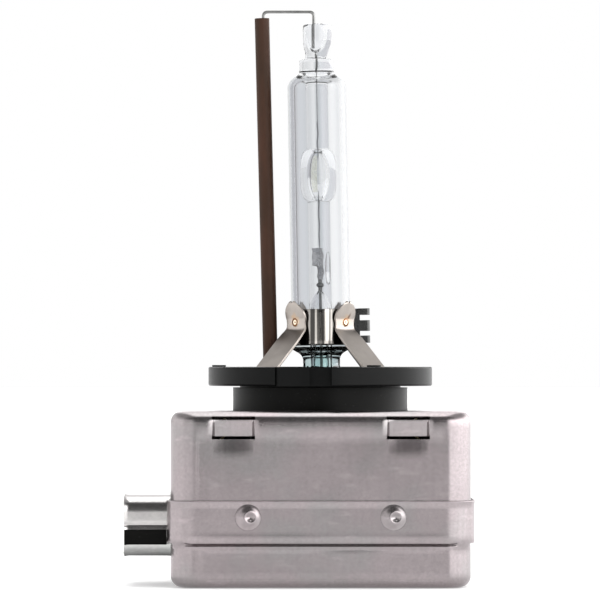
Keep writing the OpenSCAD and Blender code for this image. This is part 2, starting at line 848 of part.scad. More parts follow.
module spark_gap_caps() {
    color([0.7, 0.7, 0.72]) translate([gap_x, part_y, tray_floor + gap_r]) for (side = [-1, 1])
        translate([side * (gap_len + cap_len) / 2, 0, 0])
            rod_along_x(gap_r - 0.2, -cap_len / 2, cap_len / 2);
}

module bleed_resistor() {
    color([0.35, 0.5, 0.6]) translate([resistor_x, resistor_y, tray_floor + resistor_r]) {
        rod_along_x(resistor_r, -resistor_len / 2, resistor_len / 2);
        rod_along_x(resistor_lead_r, -resistor_reach, resistor_reach);
    }
}

// Straight run of a lead-frame strip between two opposite corners
module strip_run(from, to) {
    translate(from) cube(to - from);
}

// Strip's first stretch: along the tail of one pin and up beside the insert
module strip_start(pin, top) {
    y = -shroud_offset + (pin - (pin_count - 1) / 2) * pin_pitch;
    low = shroud_mid_z - pin_t / 2 - strip_t;
    strip_run([pin_tail - 3, y - strip_w / 2, low], [pin_tail + strip_t, y + strip_w / 2, low + strip_t]);
    strip_run([pin_tail, y - strip_w / 2, low], [pin_tail + strip_t, y + strip_w / 2, top]);
}

module supply_strip() {
    y = -shroud_offset + (pin_count - 1) / 2 * pin_pitch - strip_w / 2;
    top = coil_z + primary_r + strip_t + 0.05;
    color([0.8, 0.7, 0.42]) {
        strip_start(pin_count - 1, top);
        strip_run([primary_x - strip_w, y, top - strip_t], [pin_tail + strip_t, y + strip_w, top]);
        strip_run([primary_x - strip_w, y, top - strip_t], [primary_x, coil_y, top]);
    }
}

module ignition_strip() {
    y = -shroud_offset - (pin_count - 1) / 2 * pin_pitch - strip_w / 2;
    top = tray_floor + capacitor_size[2] + 0.8;
    end_x = gap_x + gap_len / 2 + cap_len;
    color([0.8, 0.7, 0.42]) {
        strip_start(0, top);
        strip_run([pin_tail, y, top - strip_t], [end_x + strip_t, y + strip_w, top]);
        strip_run([end_x, y, tray_floor + gap_r - 1], [end_x + strip_t, y + strip_w, top]);
    }
}

module return_strip() {
    y = -shroud_offset - strip_w / 2;
    end_x = tube_foot_x + 1.2;
    color([0.8, 0.7, 0.42]) {
        strip_start(floor(pin_count / 2), tray_top);
        strip_run([pin_tail, y, tray_top - strip_t], [end_x, y + strip_w, tray_top]);
        strip_run([end_x - 2, y, tray_top - strip_t], [end_x, 0.8, tray_top]);
    }
}

// Sleeve on the lower lead, with an arm across to the winding's last chamber
module high_voltage_terminal() {
    end_x = flange_pos(chamber_count) - chamber_w / 2;
    low = tray_top - strip_t;
    half = strip_w / 2;
    color([0.78, 0.76, 0.7]) {
        on_burner_axis() ring(terminal_r, lead_r, wire_low, wire_low + 3);
        strip_run([-half, -half, low], [terminal_r + 0.5, coil_y + half, tray_top]);
        strip_run([-half, coil_y - half, low], [end_x + strip_t, coil_y + half, tray_top]);
        strip_run([end_x, coil_y - half, coil_z + coil_r + 0.05],
            [end_x + strip_t, coil_y + half, tray_top]);
    }
}

module lead_insulator() {
    color([0.92, 0.9, 0.85]) difference() {
        translate([0, 0, -10.4]) cylinder(d = base_bore_d, h = 5.6);
        on_burner_axis() translate([0, 0, wire_low]) cylinder(r = terminal_r + 0.1, h = 10);
    }
}

// Split rings that press the lid and the upper shell apart and earth the shell
module earth_springs() {
    spring_r = (case_top - sheet_t - spigot_z) / 2 - 0.02;
    spring_t = 0.25;
    color([0.78, 0.66, 0.4]) for (side = [-1, 1])
        translate([side * spring_x, 2, spigot_z + spring_r + 0.02]) rotate([90, 0, 0]) difference() {
            ring(spring_r, spring_r - spring_t, 0, 4);
            translate([side > 0 ? 0 : -2 * spring_r, -0.8, -1]) cube([2 * spring_r, 1.6, 6]);
        }
}

upper_shell();
lower_shell();
connector_shroud();
connector_insert();
connector_seal();
contact_pins();
base_body();
flange_ring();
base_seal();
leg_front_left();
leg_front_right();
leg_rear_left();
leg_rear_right();
clamp_band();
outer_jacket();
discharge_vessel();
salt_film();
upper_electrode();
lower_electrode();
upper_foil();
lower_foil();
upper_lead();
lower_lead();
ceramic_tube();
return_wire();
igniter_carrier();
carrier_lid();
bobbin();
ferrite_core();
secondary_winding();
primary_winding();
ignition_capacitor();
spark_gap();
spark_gap_caps();
bleed_resistor();
supply_strip();
ignition_strip();
return_strip();
high_voltage_terminal();
lead_insulator();
return_sleeve();
earth_springs();
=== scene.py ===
import json
import math

import bpy
from mathutils import Matrix, Vector, noise


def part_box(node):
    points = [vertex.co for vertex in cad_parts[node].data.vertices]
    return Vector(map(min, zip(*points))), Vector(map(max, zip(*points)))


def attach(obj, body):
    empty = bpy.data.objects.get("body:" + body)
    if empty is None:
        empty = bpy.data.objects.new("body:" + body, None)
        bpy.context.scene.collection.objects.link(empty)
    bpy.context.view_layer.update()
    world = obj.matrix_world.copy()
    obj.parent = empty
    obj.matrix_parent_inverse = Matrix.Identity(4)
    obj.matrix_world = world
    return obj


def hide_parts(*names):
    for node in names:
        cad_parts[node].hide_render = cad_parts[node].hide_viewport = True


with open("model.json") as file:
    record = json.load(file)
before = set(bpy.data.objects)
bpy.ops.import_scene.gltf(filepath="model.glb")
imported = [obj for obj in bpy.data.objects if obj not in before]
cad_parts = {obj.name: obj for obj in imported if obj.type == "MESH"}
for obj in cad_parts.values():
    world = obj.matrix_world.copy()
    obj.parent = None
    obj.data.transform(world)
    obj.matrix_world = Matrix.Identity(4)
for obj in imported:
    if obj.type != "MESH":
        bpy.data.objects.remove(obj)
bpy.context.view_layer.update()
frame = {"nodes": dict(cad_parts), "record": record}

MM = 0.001

# ------ sizes in mm; Z is the lamp's axis


def box_mm(node):
    low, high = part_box(node)
    return low / MM, high / MM


UPPER_LOW, UPPER_HIGH = box_mm("upper_shell")
LOWER_LOW, LOWER_HIGH = box_mm("lower_shell")
SHROUD_LOW, SHROUD_HIGH = box_mm("connector_shroud")
LEG_TOP = box_mm("leg_front_right")[1].z

CASE_W = UPPER_HIGH.x - UPPER_LOW.x
CASE_D = UPPER_HIGH.y - UPPER_LOW.y
CASE_TOP = UPPER_HIGH.z
UPPER_RIM = UPPER_LOW.z
CASE_BOTTOM = LOWER_LOW.z
SHEET = 0.5
CORNER_R = 3.6
EDGE_R = 1.65
SPIGOT_HOLE_R = 10.3

# The band is the lower shell's wider rim; its face is drawn in by BAND_DRAWN behind its upper edge
BAND_TOP = LOWER_HIGH.z
BAND_H = 6.0
BAND_BOTTOM = BAND_TOP - BAND_H
BAND_STEP = (LOWER_HIGH.x - LOWER_LOW.x - CASE_W) / 2
BAND_DRAWN = 0.08

# Lanced windows of the upper shell: a strip pressed inwards between two cuts
WINDOW_X = 12.15
WINDOW_HALF = 3.0
WINDOW_TOP = CASE_TOP - 0.75
WINDOW_LOW = WINDOW_TOP - 3.2
STRIP_TOP = WINDOW_TOP - 0.5
STRIP_LOW = WINDOW_LOW + 0.42
WINDOW_PRESS = 0.36
WINDOW_TILT = 0.42
WINDOW_SIDE = 0.4
CREASE_X = 17.2

# The burner leans a little to the right about a point low on the lamp's axis
LIGHT_CENTRE = 27.4
LEAN = math.radians(1.0)
LEAN_Z = 11.0

LEG_AZIMUTHS = {"leg_front_left": -138, "leg_front_right": -42, "leg_rear_left": 138, "leg_rear_right": 42}

# ------ node helpers


def put(tree, node, inputs):
    """Sets the node's inputs: each one is a fixed value or another node's output."""
    for name, value in inputs.items():
        if isinstance(value, bpy.types.NodeSocket):
            tree.links.new(value, node.inputs[name])
        else:
            node.inputs[name].default_value = value


def add(tree, kind, inputs, output=0, **settings):
    """A new shader node; returns one of its outputs."""
    node = tree.nodes.new("ShaderNode" + kind)
    for key, value in settings.items():
        setattr(node, key, value)
    put(tree, node, inputs)
    return node.outputs[output]


def math_node(tree, operation, a, b=0.0):
    return add(tree, "Math", {0: a, 1: b}, operation=operation)


def plus(tree, a, b):
    return math_node(tree, "ADD", a, b)


def minus(tree, a, b):
    return math_node(tree, "SUBTRACT", a, b)


def times(tree, a, b):
    return math_node(tree, "MULTIPLY", a, b)


def over(tree, a, b):
    return math_node(tree, "DIVIDE", a, b)


def place_of(tree, space="Object"):
    """The texture coordinates, in metres in object space."""
    return add(tree, "TexCoord", {}, space)


def axes(tree, space="Object"):
    return [add(tree, "SeparateXYZ", {0: place_of(tree, space)}, axis) for axis in "XYZ"]


def texture(tree, kind, output, scale, stretch=(1, 1, 1), **inputs):
    """A texture with scale cycles per mm, stretched along each axis."""
    place = add(tree, "Mapping", {"Vector": place_of(tree), "Scale": [s / MM * scale for s in stretch]})
    return add(tree, kind, {"Vector": place, "Scale": 1.0, **inputs}, output)


def noise_fac(tree, scale, detail=4.0, stretch=(1, 1, 1)):
    return texture(tree, "TexNoise", "Fac", scale, stretch, Detail=detail)


def grey(value):
    return (value, value, value)


def tint(color, factor):
    return tuple(min(1.0, c * factor) for c in color)


def ramp(tree, fac, stops):
    """Colour ramp of (position, colour) stops."""
    node = tree.nodes.new("ShaderNodeValToRGB")
    elements = node.color_ramp.elements
    while len(elements) < len(stops):
        elements.new(0.5)
    for element, (position, color) in zip(elements, stops):
        element.position = position
        element.color = (*color, 1)
    put(tree, node, {0: fac})
    return node.outputs[0]


def levels(tree, fac, *stops):
    """Grey ramp of (position, brightness) stops."""
    return ramp(tree, fac, [(position, grey(value)) for position, value in stops])


# Sockets of a Mix node that mixes colours
MIX_A, MIX_B, MIX_RESULT = 6, 7, 2


def blend(tree, fac, a, b):
    """Mixes colour a towards the fixed colour b."""
    return add(tree, "Mix", {"Factor": fac, MIX_A: a, MIX_B: (*b, 1)}, MIX_RESULT, data_type="RGBA")


def mix_shaders(tree, fac, first, second):
    return add(tree, "MixShader", {0: fac, 1: first, 2: second})


def remap(tree, fac, low, high):
    return add(tree, "MapRange", {"Value": fac, "To Min": low, "To Max": high})


def add_bump(tree, shader, height, depth_mm, strength, under=None):
    """Relief from a height, on top of the relief under it."""
    inputs = {"Height": height, "Distance": depth_mm * MM, "Strength": strength}
    relief = add(tree, "Bump", inputs if under is None else {**inputs, "Normal": under})
    put(tree, shader, {"Normal": relief})
    return relief


def new_material(name, **inputs):
    """A material with fixed shader inputs, written with _ for a space."""
    material = bpy.data.materials.new(name)
    material.use_nodes = True
    tree = material.node_tree
    shader = tree.nodes["Principled BSDF"]
    put(tree, shader, {key.replace("_", " "): value for key, value in inputs.items()})
    return material, tree, shader


def surface(tree, shader, base, grain, rough, depth_mm, strength):
    """Colour from base; gloss between the two rough values and relief, both from one grain."""
    put(tree, shader, {"Base Color": base, "Roughness": remap(tree, grain, *rough)})
    return add_bump(tree, shader, grain, depth_mm, strength)


def base_color(material):
    """The material's tree and shader, and what is linked to its base colour."""
    shader = material.node_tree.nodes["Principled BSDF"]
    return material.node_tree, shader, shader.inputs["Base Color"].links[0].from_socket


# ------ camera, light and floor

CAMERA_DISTANCE = 600.0
CAMERA_Z = 1.0
AIM = Vector((-2.9, 0.0, 9.57))
FIELD = 85.96

# Soft boxes as name: (place, size, power), in metres and watts
LIGHTS = {
    "key_right": ((0.42, -0.10, 0.06), (0.30, 0.40), 0.25),
    "fill_left": ((-0.32, -0.30, 0.04), (0.25, 0.40), 0.35),
    "top": ((0.0, 0.15, 0.50), (0.36, 0.40), 0.35),
}

TENT_ABOVE, TENT_RIGHT, TENT_LEFT = 3.2, 4.8, 1.35

# What the glass lets through, from the tent's left to its right
THROUGH_GLASS = [(0.0, (0.44, 0.44, 0.47)), (0.30, (0.57, 0.58, 0.61)), (0.43, (0.61, 0.63, 0.66)),
                 (0.5, (0.52, 0.54, 0.55)), (0.57, (0.85, 0.855, 0.86)), (0.70, (0.68, 0.69, 0.70)),
                 (1.0, (0.74, 0.74, 0.75))]

# In metres
FLOOR_HALF = 4.0
FLOOR_GAP = 0.00005


def make_camera():
    data = bpy.data.cameras.new("camera")
    data.sensor_width = 36.0
    data.lens = data.sensor_width * CAMERA_DISTANCE / FIELD
    data.clip_start = 0.01
    data.clip_end = 50.0
    camera = bpy.data.objects.new("camera", data)
    camera.location = Vector((AIM.x, -CAMERA_DISTANCE, CAMERA_Z)) * MM
    direction = AIM * MM - camera.location
    camera.rotation_euler = direction.to_track_quat("-Z", "Y").to_euler()
    bpy.context.scene.collection.objects.link(camera)
    bpy.context.scene.camera = camera


def area_light(name, place, size, power):
    """Soft box aimed at the lamp; it lights the surfaces but isn't mirrored in them."""
    data = bpy.data.lights.new(name, "AREA")
    data.shape = "RECTANGLE"
    data.size, data.size_y = size
    data.energy = power
    light = bpy.data.objects.new(name, data)
    light.location = place
    light.rotation_euler = (-Vector(place)).to_track_quat("-Z", "Y").to_euler()
    light.visible_camera = False
    light.visible_transmission = False
    light.visible_glossy = False
    bpy.context.scene.collection.objects.link(light)


def tent_strength(tree, x, y, z):
    """Dark in front, where the camera stands, with bright panels overhead and at both sides."""
    front = levels(tree, times(tree, y, -1.0), (0.0, 0.85), (0.42, 0.80), (0.62, 0.16), (1.0, 0.11))
    off_centre = times(tree, math_node(tree, "ABSOLUTE", x), 1.3)
    overhead = minus(tree, plus(tree, z, times(tree, y, 0.6)), off_centre)
    above = times(tree, levels(tree, overhead, (0.50, 0.0), (0.62, 1.0)), TENT_ABOVE)
    above = times(tree, above, levels(tree, y, (0.0, 1.0), (0.6, 0.6)))
    right = times(tree, levels(tree, x, (0.18, 0.0), (0.34, 1.0)), TENT_RIGHT)
    left = times(tree, levels(tree, times(tree, x, -1.0), (0.14, 0.0), (0.30, 1.0)), TENT_LEFT)
    beside = times(tree, plus(tree, right, left), levels(tree, z, (0.35, 1.0), (0.60, 0.0)))
    beside = times(tree, beside, levels(tree, y, (0.50, 1.0), (0.85, 0.35)))
    return plus(tree, plus(tree, front, above), beside)


def make_world():
    """Tent round the lamp: white to the camera, panels in reflections, and greys through the glass."""
    world = bpy.data.worlds.new("tent")
    bpy.context.scene.world = world
    world.use_nodes = True
    tree = world.node_tree
    tree.nodes.clear()
    x, y, z = axes(tree, "Generated")
    tent = add(tree, "Background", {"Strength": tent_strength(tree, x, y, z)})
    across = plus(tree, times(tree, x, 0.5), 0.5)
    through = add(tree, "Background", {"Color": ramp(tree, across, THROUGH_GLASS)})
    seen = add(tree, "Background", {"Color": (1, 1, 1, 1)})
    in_glass = math_node(tree, "GREATER_THAN", add(tree, "LightPath", {}, "Transmission Depth"), 0.5)
    lit = mix_shaders(tree, in_glass, tent, through)
    shown = mix_shaders(tree, add(tree, "LightPath", {}, "Is Camera Ray"), lit, seen)
    put(tree, tree.nodes.new("ShaderNodeOutputWorld"), {"Surface": shown})


def floor_paint():
    """White matt paint, lit up a little from within so that it stays white under the lamp."""
    material, tree, shader = new_material("floor_paint", Roughness=0.8, Emission_Color=(1, 1, 1, 1),
                                          Emission_Strength=0.30)
    put(tree, shader, {"Base Color": levels(tree, noise_fac(tree, 0.02, 3.0), (0.3, 0.78), (0.7, 0.80))})
    return material


def make_floor():
    mesh = bpy.data.meshes.new("floor")
    level = CASE_BOTTOM * MM - FLOOR_GAP
    corners = [(x * FLOOR_HALF, y * FLOOR_HALF, level) for x, y in ((-1, -1), (1, -1), (1, 1), (-1, 1))]
    mesh.from_pydata(corners, [], [(0, 1, 2, 3)])
    floor = bpy.data.objects.new("floor", mesh)
    bpy.context.scene.collection.objects.link(floor)
    mesh.materials.append(floor_paint())


def make_stage():
    bpy.context.scene.view_settings.view_transform = "Standard"
    make_camera()
    make_world()
    for name, (place, size, power) in LIGHTS.items():
        area_light(name, place, size, power)
    make_floor()


# ------ materials; texture scales in cycles per mm


def case_metal(name, color, streak, rough):
    """Drawn aluminium: drawing streaks, cloudy green-grey oxide, dark speckle, pale smears, fine grain."""
    material, tree, shader = new_material(name, Metallic=1.0)
    oxide = (color[0] * 0.88, color[1] * 0.98, color[2] * 0.95)
    base = ramp(tree, noise_fac(tree, 0.10, 5.0), [(0.38, oxide), (0.52, color), (0.66, tint(color, 1.12))])
    base = blend(tree, remap(tree, noise_fac(tree, 2.6), 0.0, 0.9), base, tint(color, 0.62))
    smear = levels(tree, noise_fac(tree, 0.35, 3.0, (0.7, 0.7, 2.4)), (0.62, 0.0), (0.78, 0.40))
    base = blend(tree, smear, base, tint(color, 1.35))
    streaks = noise_fac(tree, 1.0, 5.0, streak)
    base = blend(tree, remap(tree, streaks, 0.0, 0.22), base, tint(color, 1.5))
    relief = surface(tree, shader, base, streaks, rough, 0.010, 0.07)
    add_bump(tree, shader, noise_fac(tree, 6.0), 0.003, 0.40, relief)
    return material


def painted_shade_by_height(material, bands):
    """Paints shade and reflection bands into a metal's colour by height; bands are (height in mm, brightness)
    from low to high.
    """
    tree, shader, base = base_color(material)
    low, high = bands[0][0], bands[-1][0]
    ragged = times(tree, noise_fac(tree, 0.8, 3.0, (0.2, 1.0, 1.0)), 0.3 * MM)
    height = plus(tree, axes(tree)[2], ragged)
    level = over(tree, minus(tree, height, low * MM), (high - low) * MM)
    dark = levels(tree, level, *[((z - low) / (high - low), 1 - value) for z, value in bands])
    put(tree, shader, {"Base Color": blend(tree, dark, base, grey(0.0))})
    return material


def steel(name, color, rough, streak=(6.0, 6.0, 0.5)):
    """Sheet steel with a faint cloud in its colour and fine streaks in its gloss."""
    material, tree, shader = new_material(name, Metallic=1.0)
    base = ramp(tree, noise_fac(tree, 0.4), [(0.35, tint(color, 0.9)), (0.65, tint(color, 1.08))])
    surface(tree, shader, base, noise_fac(tree, 1.0, 4.0, streak), rough, 0.004, 0.4)
    return material


# Middle of the heat tint round a leg's weld, with the signs of X and Y dropped, in mm
TINT_PLACE = (3.6, 3.24, 6.6)
HEAT_BROWN = (0.50, 0.33, 0.20)
SCORCH_BROWN = (0.10, 0.045, 0.025)


def leg_steel(name, color):
    """Rolled stainless sheet with brown heat tint round each spot weld, and one scorch mark."""
    material = steel(name, color, (0.26, 0.36), (3.0, 3.0, 3.0))
    tree, shader, base = base_color(material)
    mirrored = add(tree, "VectorMath", {0: place_of(tree)}, operation="ABSOLUTE")
    points = {0: mirrored, 1: [c * MM for c in TINT_PLACE]}
    away = add(tree, "VectorMath", points, "Value", operation="DISTANCE")
    ragged = times(tree, noise_fac(tree, 1.3, 3.0), 1.6 * MM)
    spread = over(tree, plus(tree, away, ragged), 3.0 * MM)
    base = blend(tree, levels(tree, spread, (0.42, 0.75), (0.62, 0.0)), base, HEAT_BROWN)
    put(tree, shader, {"Base Color": blend(tree, scorch_mask(tree), base, SCORCH_BROWN)})
    return material


def scorch_mask(tree):
    """Slanting oval on the front right leg's lobe, above its weld."""
    middle_x, middle_z, slant = 4.05, 7.1, math.radians(30)
    half_length, half_width = 0.95, 0.22
    object_x, object_y, object_z = axes(tree)
    x = minus(tree, object_x, middle_x * MM)
    z = minus(tree, object_z, middle_z * MM)
    squares = []
    for along_x, along_z, half in ((math.sin(slant), math.cos(slant), half_length),
                                   (math.cos(slant), -math.sin(slant), half_width)):
        part = plus(tree, times(tree, x, along_x / (half * MM)), times(tree, z, along_z / (half * MM)))
        squares.append(times(tree, part, part))
    ragged = plus(tree, plus(tree, *squares), times(tree, noise_fac(tree, 2.0, 3.0), 0.8))
    front = math_node(tree, "LESS_THAN", object_y, 0.0)
    return times(tree, levels(tree, ragged, (0.35, 0.9), (1.0, 0.0)), front)


def steel_with_painted_reflections(name, dark, light):
    """Bright rolled band whose colour holds painted reflections: upright dark and light streaks, and painted
    shade darker away from its middle.
    """
    material, tree, shader = new_material(name, Metallic=1.0)
    streaks = noise_fac(tree, 1.0, 2.0, (2.0, 2.0, 0.02))
    # The dark and light streaks in the colour are painted reflections; the same streaks also give the relief
    base = ramp(tree, streaks, [(0.42, dark), (0.49, tint(light, 0.4)), (0.58, light)])
    # Painted reflection of the legs beside the band: the colour darkens away from its middle
    aside = over(tree, math_node(tree, "ABSOLUTE", axes(tree)[0]), 4.0 * MM)
    base = blend(tree, levels(tree, aside, (0.30, 0.0), (0.55, 0.85)), base, dark)
    rough = remap(tree, noise_fac(tree, 1.0, 3.0, (9.0, 9.0, 0.3)), 0.08, 0.2)
    put(tree, shader, {"Base Color": base, "Roughness": rough})
    add_bump(tree, shader, streaks, 0.05, 0.5)
    return material


def plastic(name, color, rough=(0.35, 0.5), speckle=0.0, gloss=0.5):
    """Moulded plastic with fine texture; speckle adds pale dust."""
    material, tree, shader = new_material(name, Specular_IOR_Level=gloss)
    base = ramp(tree, noise_fac(tree, 0.25), [(0.35, tint(color, 0.85)), (0.65, tint(color, 1.15))])
    if speckle > 0:
        dust = levels(tree, texture(tree, "TexVoronoi", "Distance", 2.2), (0.0, speckle), (0.07, 0.0))
        base = blend(tree, dust, base, (0.5, 0.5, 0.48))
    surface(tree, shader, base, noise_fac(tree, 4.0, 3.0), rough, 0.006, 0.5)
    return material


def ceramic(name, color, edge):
    """Matt ceramic with long clouds of its edge colour."""
    material, tree, shader = new_material(name, Specular_IOR_Level=0.15)
    base = ramp(tree, noise_fac(tree, 0.5, 5.0, (1.0, 1.0, 0.25)), [(0.35, color), (0.7, edge)])
    surface(tree, shader, base, noise_fac(tree, 5.0), (0.5, 0.65), 0.01, 0.5)
    return material


def clear_glass(name):
    """Fused quartz with very faint drawing lines, and a teal cast in the thick glass of the neck."""
    material, tree, shader = new_material(name, Transmission_Weight=1.0, IOR=1.46, Specular_IOR_Level=0.25)
    height = over(tree, axes(tree)[2], 6.0 * MM)
    base = ramp(tree, height, [(0.35, (0.72, 0.88, 0.87)), (0.60, (0.985, 0.99, 0.995))])
    surface(tree, shader, base, noise_fac(tree, 1.0, 2.0, (1.2, 1.2, 0.03)), (0.0, 0.015), 0.01, 0.25)
    return material


def simple(name, color, metallic=0.0, rough=(0.35, 0.5)):
    """Small parts: cloudy colour, uneven gloss and a fine surface."""
    material, tree, shader = new_material(name, Metallic=metallic)
    base = ramp(tree, noise_fac(tree, 0.5), [(0.35, tint(color, 0.85)), (0.65, tint(color, 1.12))])
    surface(tree, shader, base, noise_fac(tree, 4.0, 3.0), rough, 0.006, 0.4)
    return material


def salt_layer(name):
    """Thin pale yellow-green halide film of uneven thickness, with a faint painted glow from within."""
    # Painted glow: the film emits a little pale light of its own
    material, tree, shader = new_material(name, Roughness=0.8, Emission_Color=(0.85, 0.86, 0.70, 1),
                                          Emission_Strength=0.35)
    grains = noise_fac(tree, 1.4, 5.0)
    base = ramp(tree, grains, [(0.3, (0.90, 0.90, 0.78)), (0.7, (0.80, 0.82, 0.62))])
    put(tree, shader, {"Base Color": base, "Alpha": remap(tree, grains, 0.18, 0.42)})
    return material


# Bands that a wave texture of scale 1 has in one unit of length
WAVE_BANDS = 3.2


def winding(name, color, pitch):
    """Enamelled copper wire: fine turns side by side along X, with painted shade darkening the gaps between
    the turns.
    """
    material, tree, shader = new_material(name, Metallic=0.7, Roughness=0.3)
    inputs = {"Vector": place_of(tree), "Scale": 1.0 / (pitch * MM) / WAVE_BANDS, "Distortion": 0.3}
    turns = add(tree, "TexWave", inputs, "Fac", bands_direction="X")
    # Painted shade: each turn's colour darkens towards the gap beside it
    put(tree, shader, {"Base Color": ramp(tree, turns, [(0.1, tint(color, 0.5)), (0.7, color)])})
    add_bump(tree, shader, turns, pitch / 3, 0.8)
    return material


# ------ mesh helpers; points in mm


def make_object(name, verts, faces, slot, replaces=(), smooth=35, body="root", material=None):
    """A piece from points in mm, in its slot's material; edges sharper than smooth degrees stay sharp."""
    mesh = bpy.data.meshes.new(name)
    mesh.from_pydata([tuple(Vector(v) * MM) for v in verts], [], faces)
    mesh.validate()
    mesh.shade_smooth()
    mesh.set_sharp_from_angle(angle=math.radians(smooth))
    mesh.materials.append(material or MATERIALS[slot])
    piece = bpy.data.objects.new(name, mesh)
    bpy.context.scene.collection.objects.link(piece)
    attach(piece, body)
    if replaces:
        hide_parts(*replaces)
    return piece


def add_modifier(piece, kind, **settings):
    modifier = piece.modifiers.new(kind.lower(), kind)
    for key, value in settings.items():
        setattr(modifier, key, value)


def solidify(piece, thickness_mm, offset=-1.0):
    add_modifier(piece, "SOLIDIFY", thickness=thickness_mm * MM, offset=offset, use_even_offset=True,
                 use_quality_normals=True)


def make_sheet(name, verts, faces, slot, replaces, thickness_mm, smooth, offset=-1.0):
    """A surface given thickness, with that thickness applied and its sharp edges marked."""
    piece = make_object(name, verts, faces, slot, replaces, smooth)
    solidify(piece, thickness_mm, offset)
    mesh = bpy.data.meshes.new_from_object(piece.evaluated_get(bpy.context.evaluated_depsgraph_get()))
    piece.modifiers.clear()
    piece.data = mesh
    mesh.shade_smooth()
    mesh.set_sharp_from_angle(angle=math.radians(smooth))


def bevel(piece, width_mm, angle):
    add_modifier(piece, "BEVEL", width=width_mm * MM, segments=2, limit_method="ANGLE",
                 angle_limit=math.radians(angle), harden_normals=True)


def stops(low, high, step, marks=()):
    """Evenly spread positions from low to high that also hit every mark."""
    fixed = sorted({low, high, *[m for m in marks if low < m < high]})
    result = []
    for a, b in zip(fixed, fixed[1:]):
        count = max(1, round((b - a) / step))
        result += [a + (b - a) * i / count for i in range(count)]
    return result + [high]


def smooth_step(t):
    t = min(1.0, max(0.0, t))
    return t * t * (3 - 2 * t)


def wobble(x, y, z, scale, size):
    """Gentle unevenness of drawn sheet, in mm."""
    return noise.noise(Vector((x, y, z)) * scale) * size


def ring_points(r, z, segments):
    """Points round a circle at a height, or the pole alone where r is 0."""
    if r < 1e-6:
        return [(0.0, 0.0, z)]
    turns = [2 * math.pi * i / segments for i in range(segments)]
    return [(r * math.cos(a), r * math.sin(a), z) for a in turns]


def revolve(profile, segments, flip=False):
    """Closed surface of revolution of (r, z) points; r = 0 makes a pole."""
    verts, faces, rows = [], [], []
    for r, z in profile:
        ring = ring_points(r, z, segments)
        rows.append(list(range(len(verts), len(verts) + len(ring))))
        verts += ring
    pairs = list(zip(rows, rows[1:]))
    if len(rows[0]) > 1 or len(rows[-1]) > 1:
        pairs.append((rows[-1], rows[0]))
    for low, high in pairs:
        for i in range(segments):
            j = (i + 1) % segments
            quad = [low[i % len(low)], low[j % len(low)], high[j % len(high)], high[i % len(high)]]
            face = [v for k, v in enumerate(quad) if v not in quad[:k]]
            if len(face) > 2:
                faces.append(tuple(reversed(face)) if flip else tuple(face))
    return verts, faces


def joined(*meshes):
    """One list of points and one of faces from several pairs of them."""
    verts, faces = [], []
    for more_verts, more_faces in meshes:
        base = len(verts)
        verts += more_verts
        faces += [tuple(base + i for i in face) for face in more_faces]
    return verts, faces


def arc(cx, cz, r, start, end, count=8):
    """Points along an arc, from start to end degrees."""
    angles = [math.radians(start + (end - start) * i / count) for i in range(count + 1)]
    return [(cx + r * math.cos(a), cz + r * math.sin(a)) for a in angles]


def rounded_path(points, radius, count):
    """The points joined by straight lines, with each inner corner rounded."""
    path = [Vector(points[0])]
    for a, b, c in zip(points, points[1:], points[2:]):
        a, b, c = Vector(a), Vector(b), Vector(c)
        u, v = (a - b).normalized(), (c - b).normalized()
        half = u.angle(v) / 2
        cut = min(radius / math.tan(half), (a - b).length * 0.49, (c - b).length * 0.49)
        r = cut * math.tan(half)
        centre = b + (u + v).normalized() * (r / math.sin(half))
        start, end = b + u * cut - centre, b + v * cut - centre
        sweep = start.angle(end)
        for i in range(count + 1):
            t = i / count
            mixed = start * math.sin((1 - t) * sweep) + end * math.sin(t * sweep)
            path.append(centre + mixed / math.sin(sweep))
    return path + [Vector(points[-1])]


def grid_faces(rows, columns, wrap=False, skip=lambda i, j: False):
    """Quads between row i and i + 1 and column j and j + 1 of a row-major grid."""
    faces = []
    for i in range(rows - 1):
        for j in range(columns if wrap else columns - 1):
            if not skip(i, j):
                k = (j + 1) % columns
                faces.append((i * columns + j, i * columns + k, (i + 1) * columns + k, (i + 1) * columns + j))
    return faces


def lean(verts):
    """Moves points made on the lamp axis onto the burner's own axis."""
    turn = Matrix.Rotation(-LEAN, 3, "Y")
    pivot = Vector((0, 0, LEAN_Z))
    return [turn @ (Vector(v) - pivot) + pivot for v in verts]


# ------ case


CORNER_STEPS = 10
LONG_SIDES = ("front", "back")
# Each side's outward direction, and the angle where the corner after it starts
SIDES = {"front": (0, -1, -90), "right": (1, 0, 0), "back": (0, 1, 90), "left": (-1, 0, 180)}


def perimeter(marks_x, marks_y):
    """Points round the case as (kind, place): a flat side's position, or a corner's angle."""
    xs = stops(-side_half("front"), side_half("front"), 0.8, marks_x)
    ys = stops(-side_half("left"), side_half("left"), 0.8, marks_y)
    items = []
    for (side, (_, _, start)), along in zip(SIDES.items(), (xs, ys, xs[::-1], ys[::-1])):
        items += [(side, p) for p in along]
        items += [("corner", start + 90 * i / CORNER_STEPS) for i in range(1, CORNER_STEPS)]
    return items


def perimeter_point(item, inset):
    """Where a perimeter item lies when the outline is drawn in by inset."""
    kind, place = item
    if kind in SIDES:
        x, y, _ = SIDES[kind]
        return Vector((x * (CASE_W / 2 - inset) + abs(y) * place, y * (CASE_D / 2 - inset) + abs(x) * place))
    a = math.radians(place)
    out = Vector((math.cos(a), math.sin(a)))
    centre = Vector((math.copysign(side_half("front"), out.x), math.copysign(side_half("left"), out.y)))
    return centre + out * (CORNER_R - inset)


def side_half(kind):
    """Half the length of a flat side."""
    return (CASE_W if kind in LONG_SIDES else CASE_D) / 2 - CORNER_R


def flatness(item):
    """1 on a flat side, falling to 0 at the corners."""
    kind, place = item
    return 0.0 if kind == "corner" else smooth_step((side_half(kind) - abs(place)) / 1.6)


def fold_share(item):
    """1 where the band's lower fold is tight: on the flats and a little way round each corner."""
    kind, place = item
    if kind != "corner":
        return 1.0
    turned = place % 90
    return smooth_step((30 - min(turned, 90 - turned)) / 20)


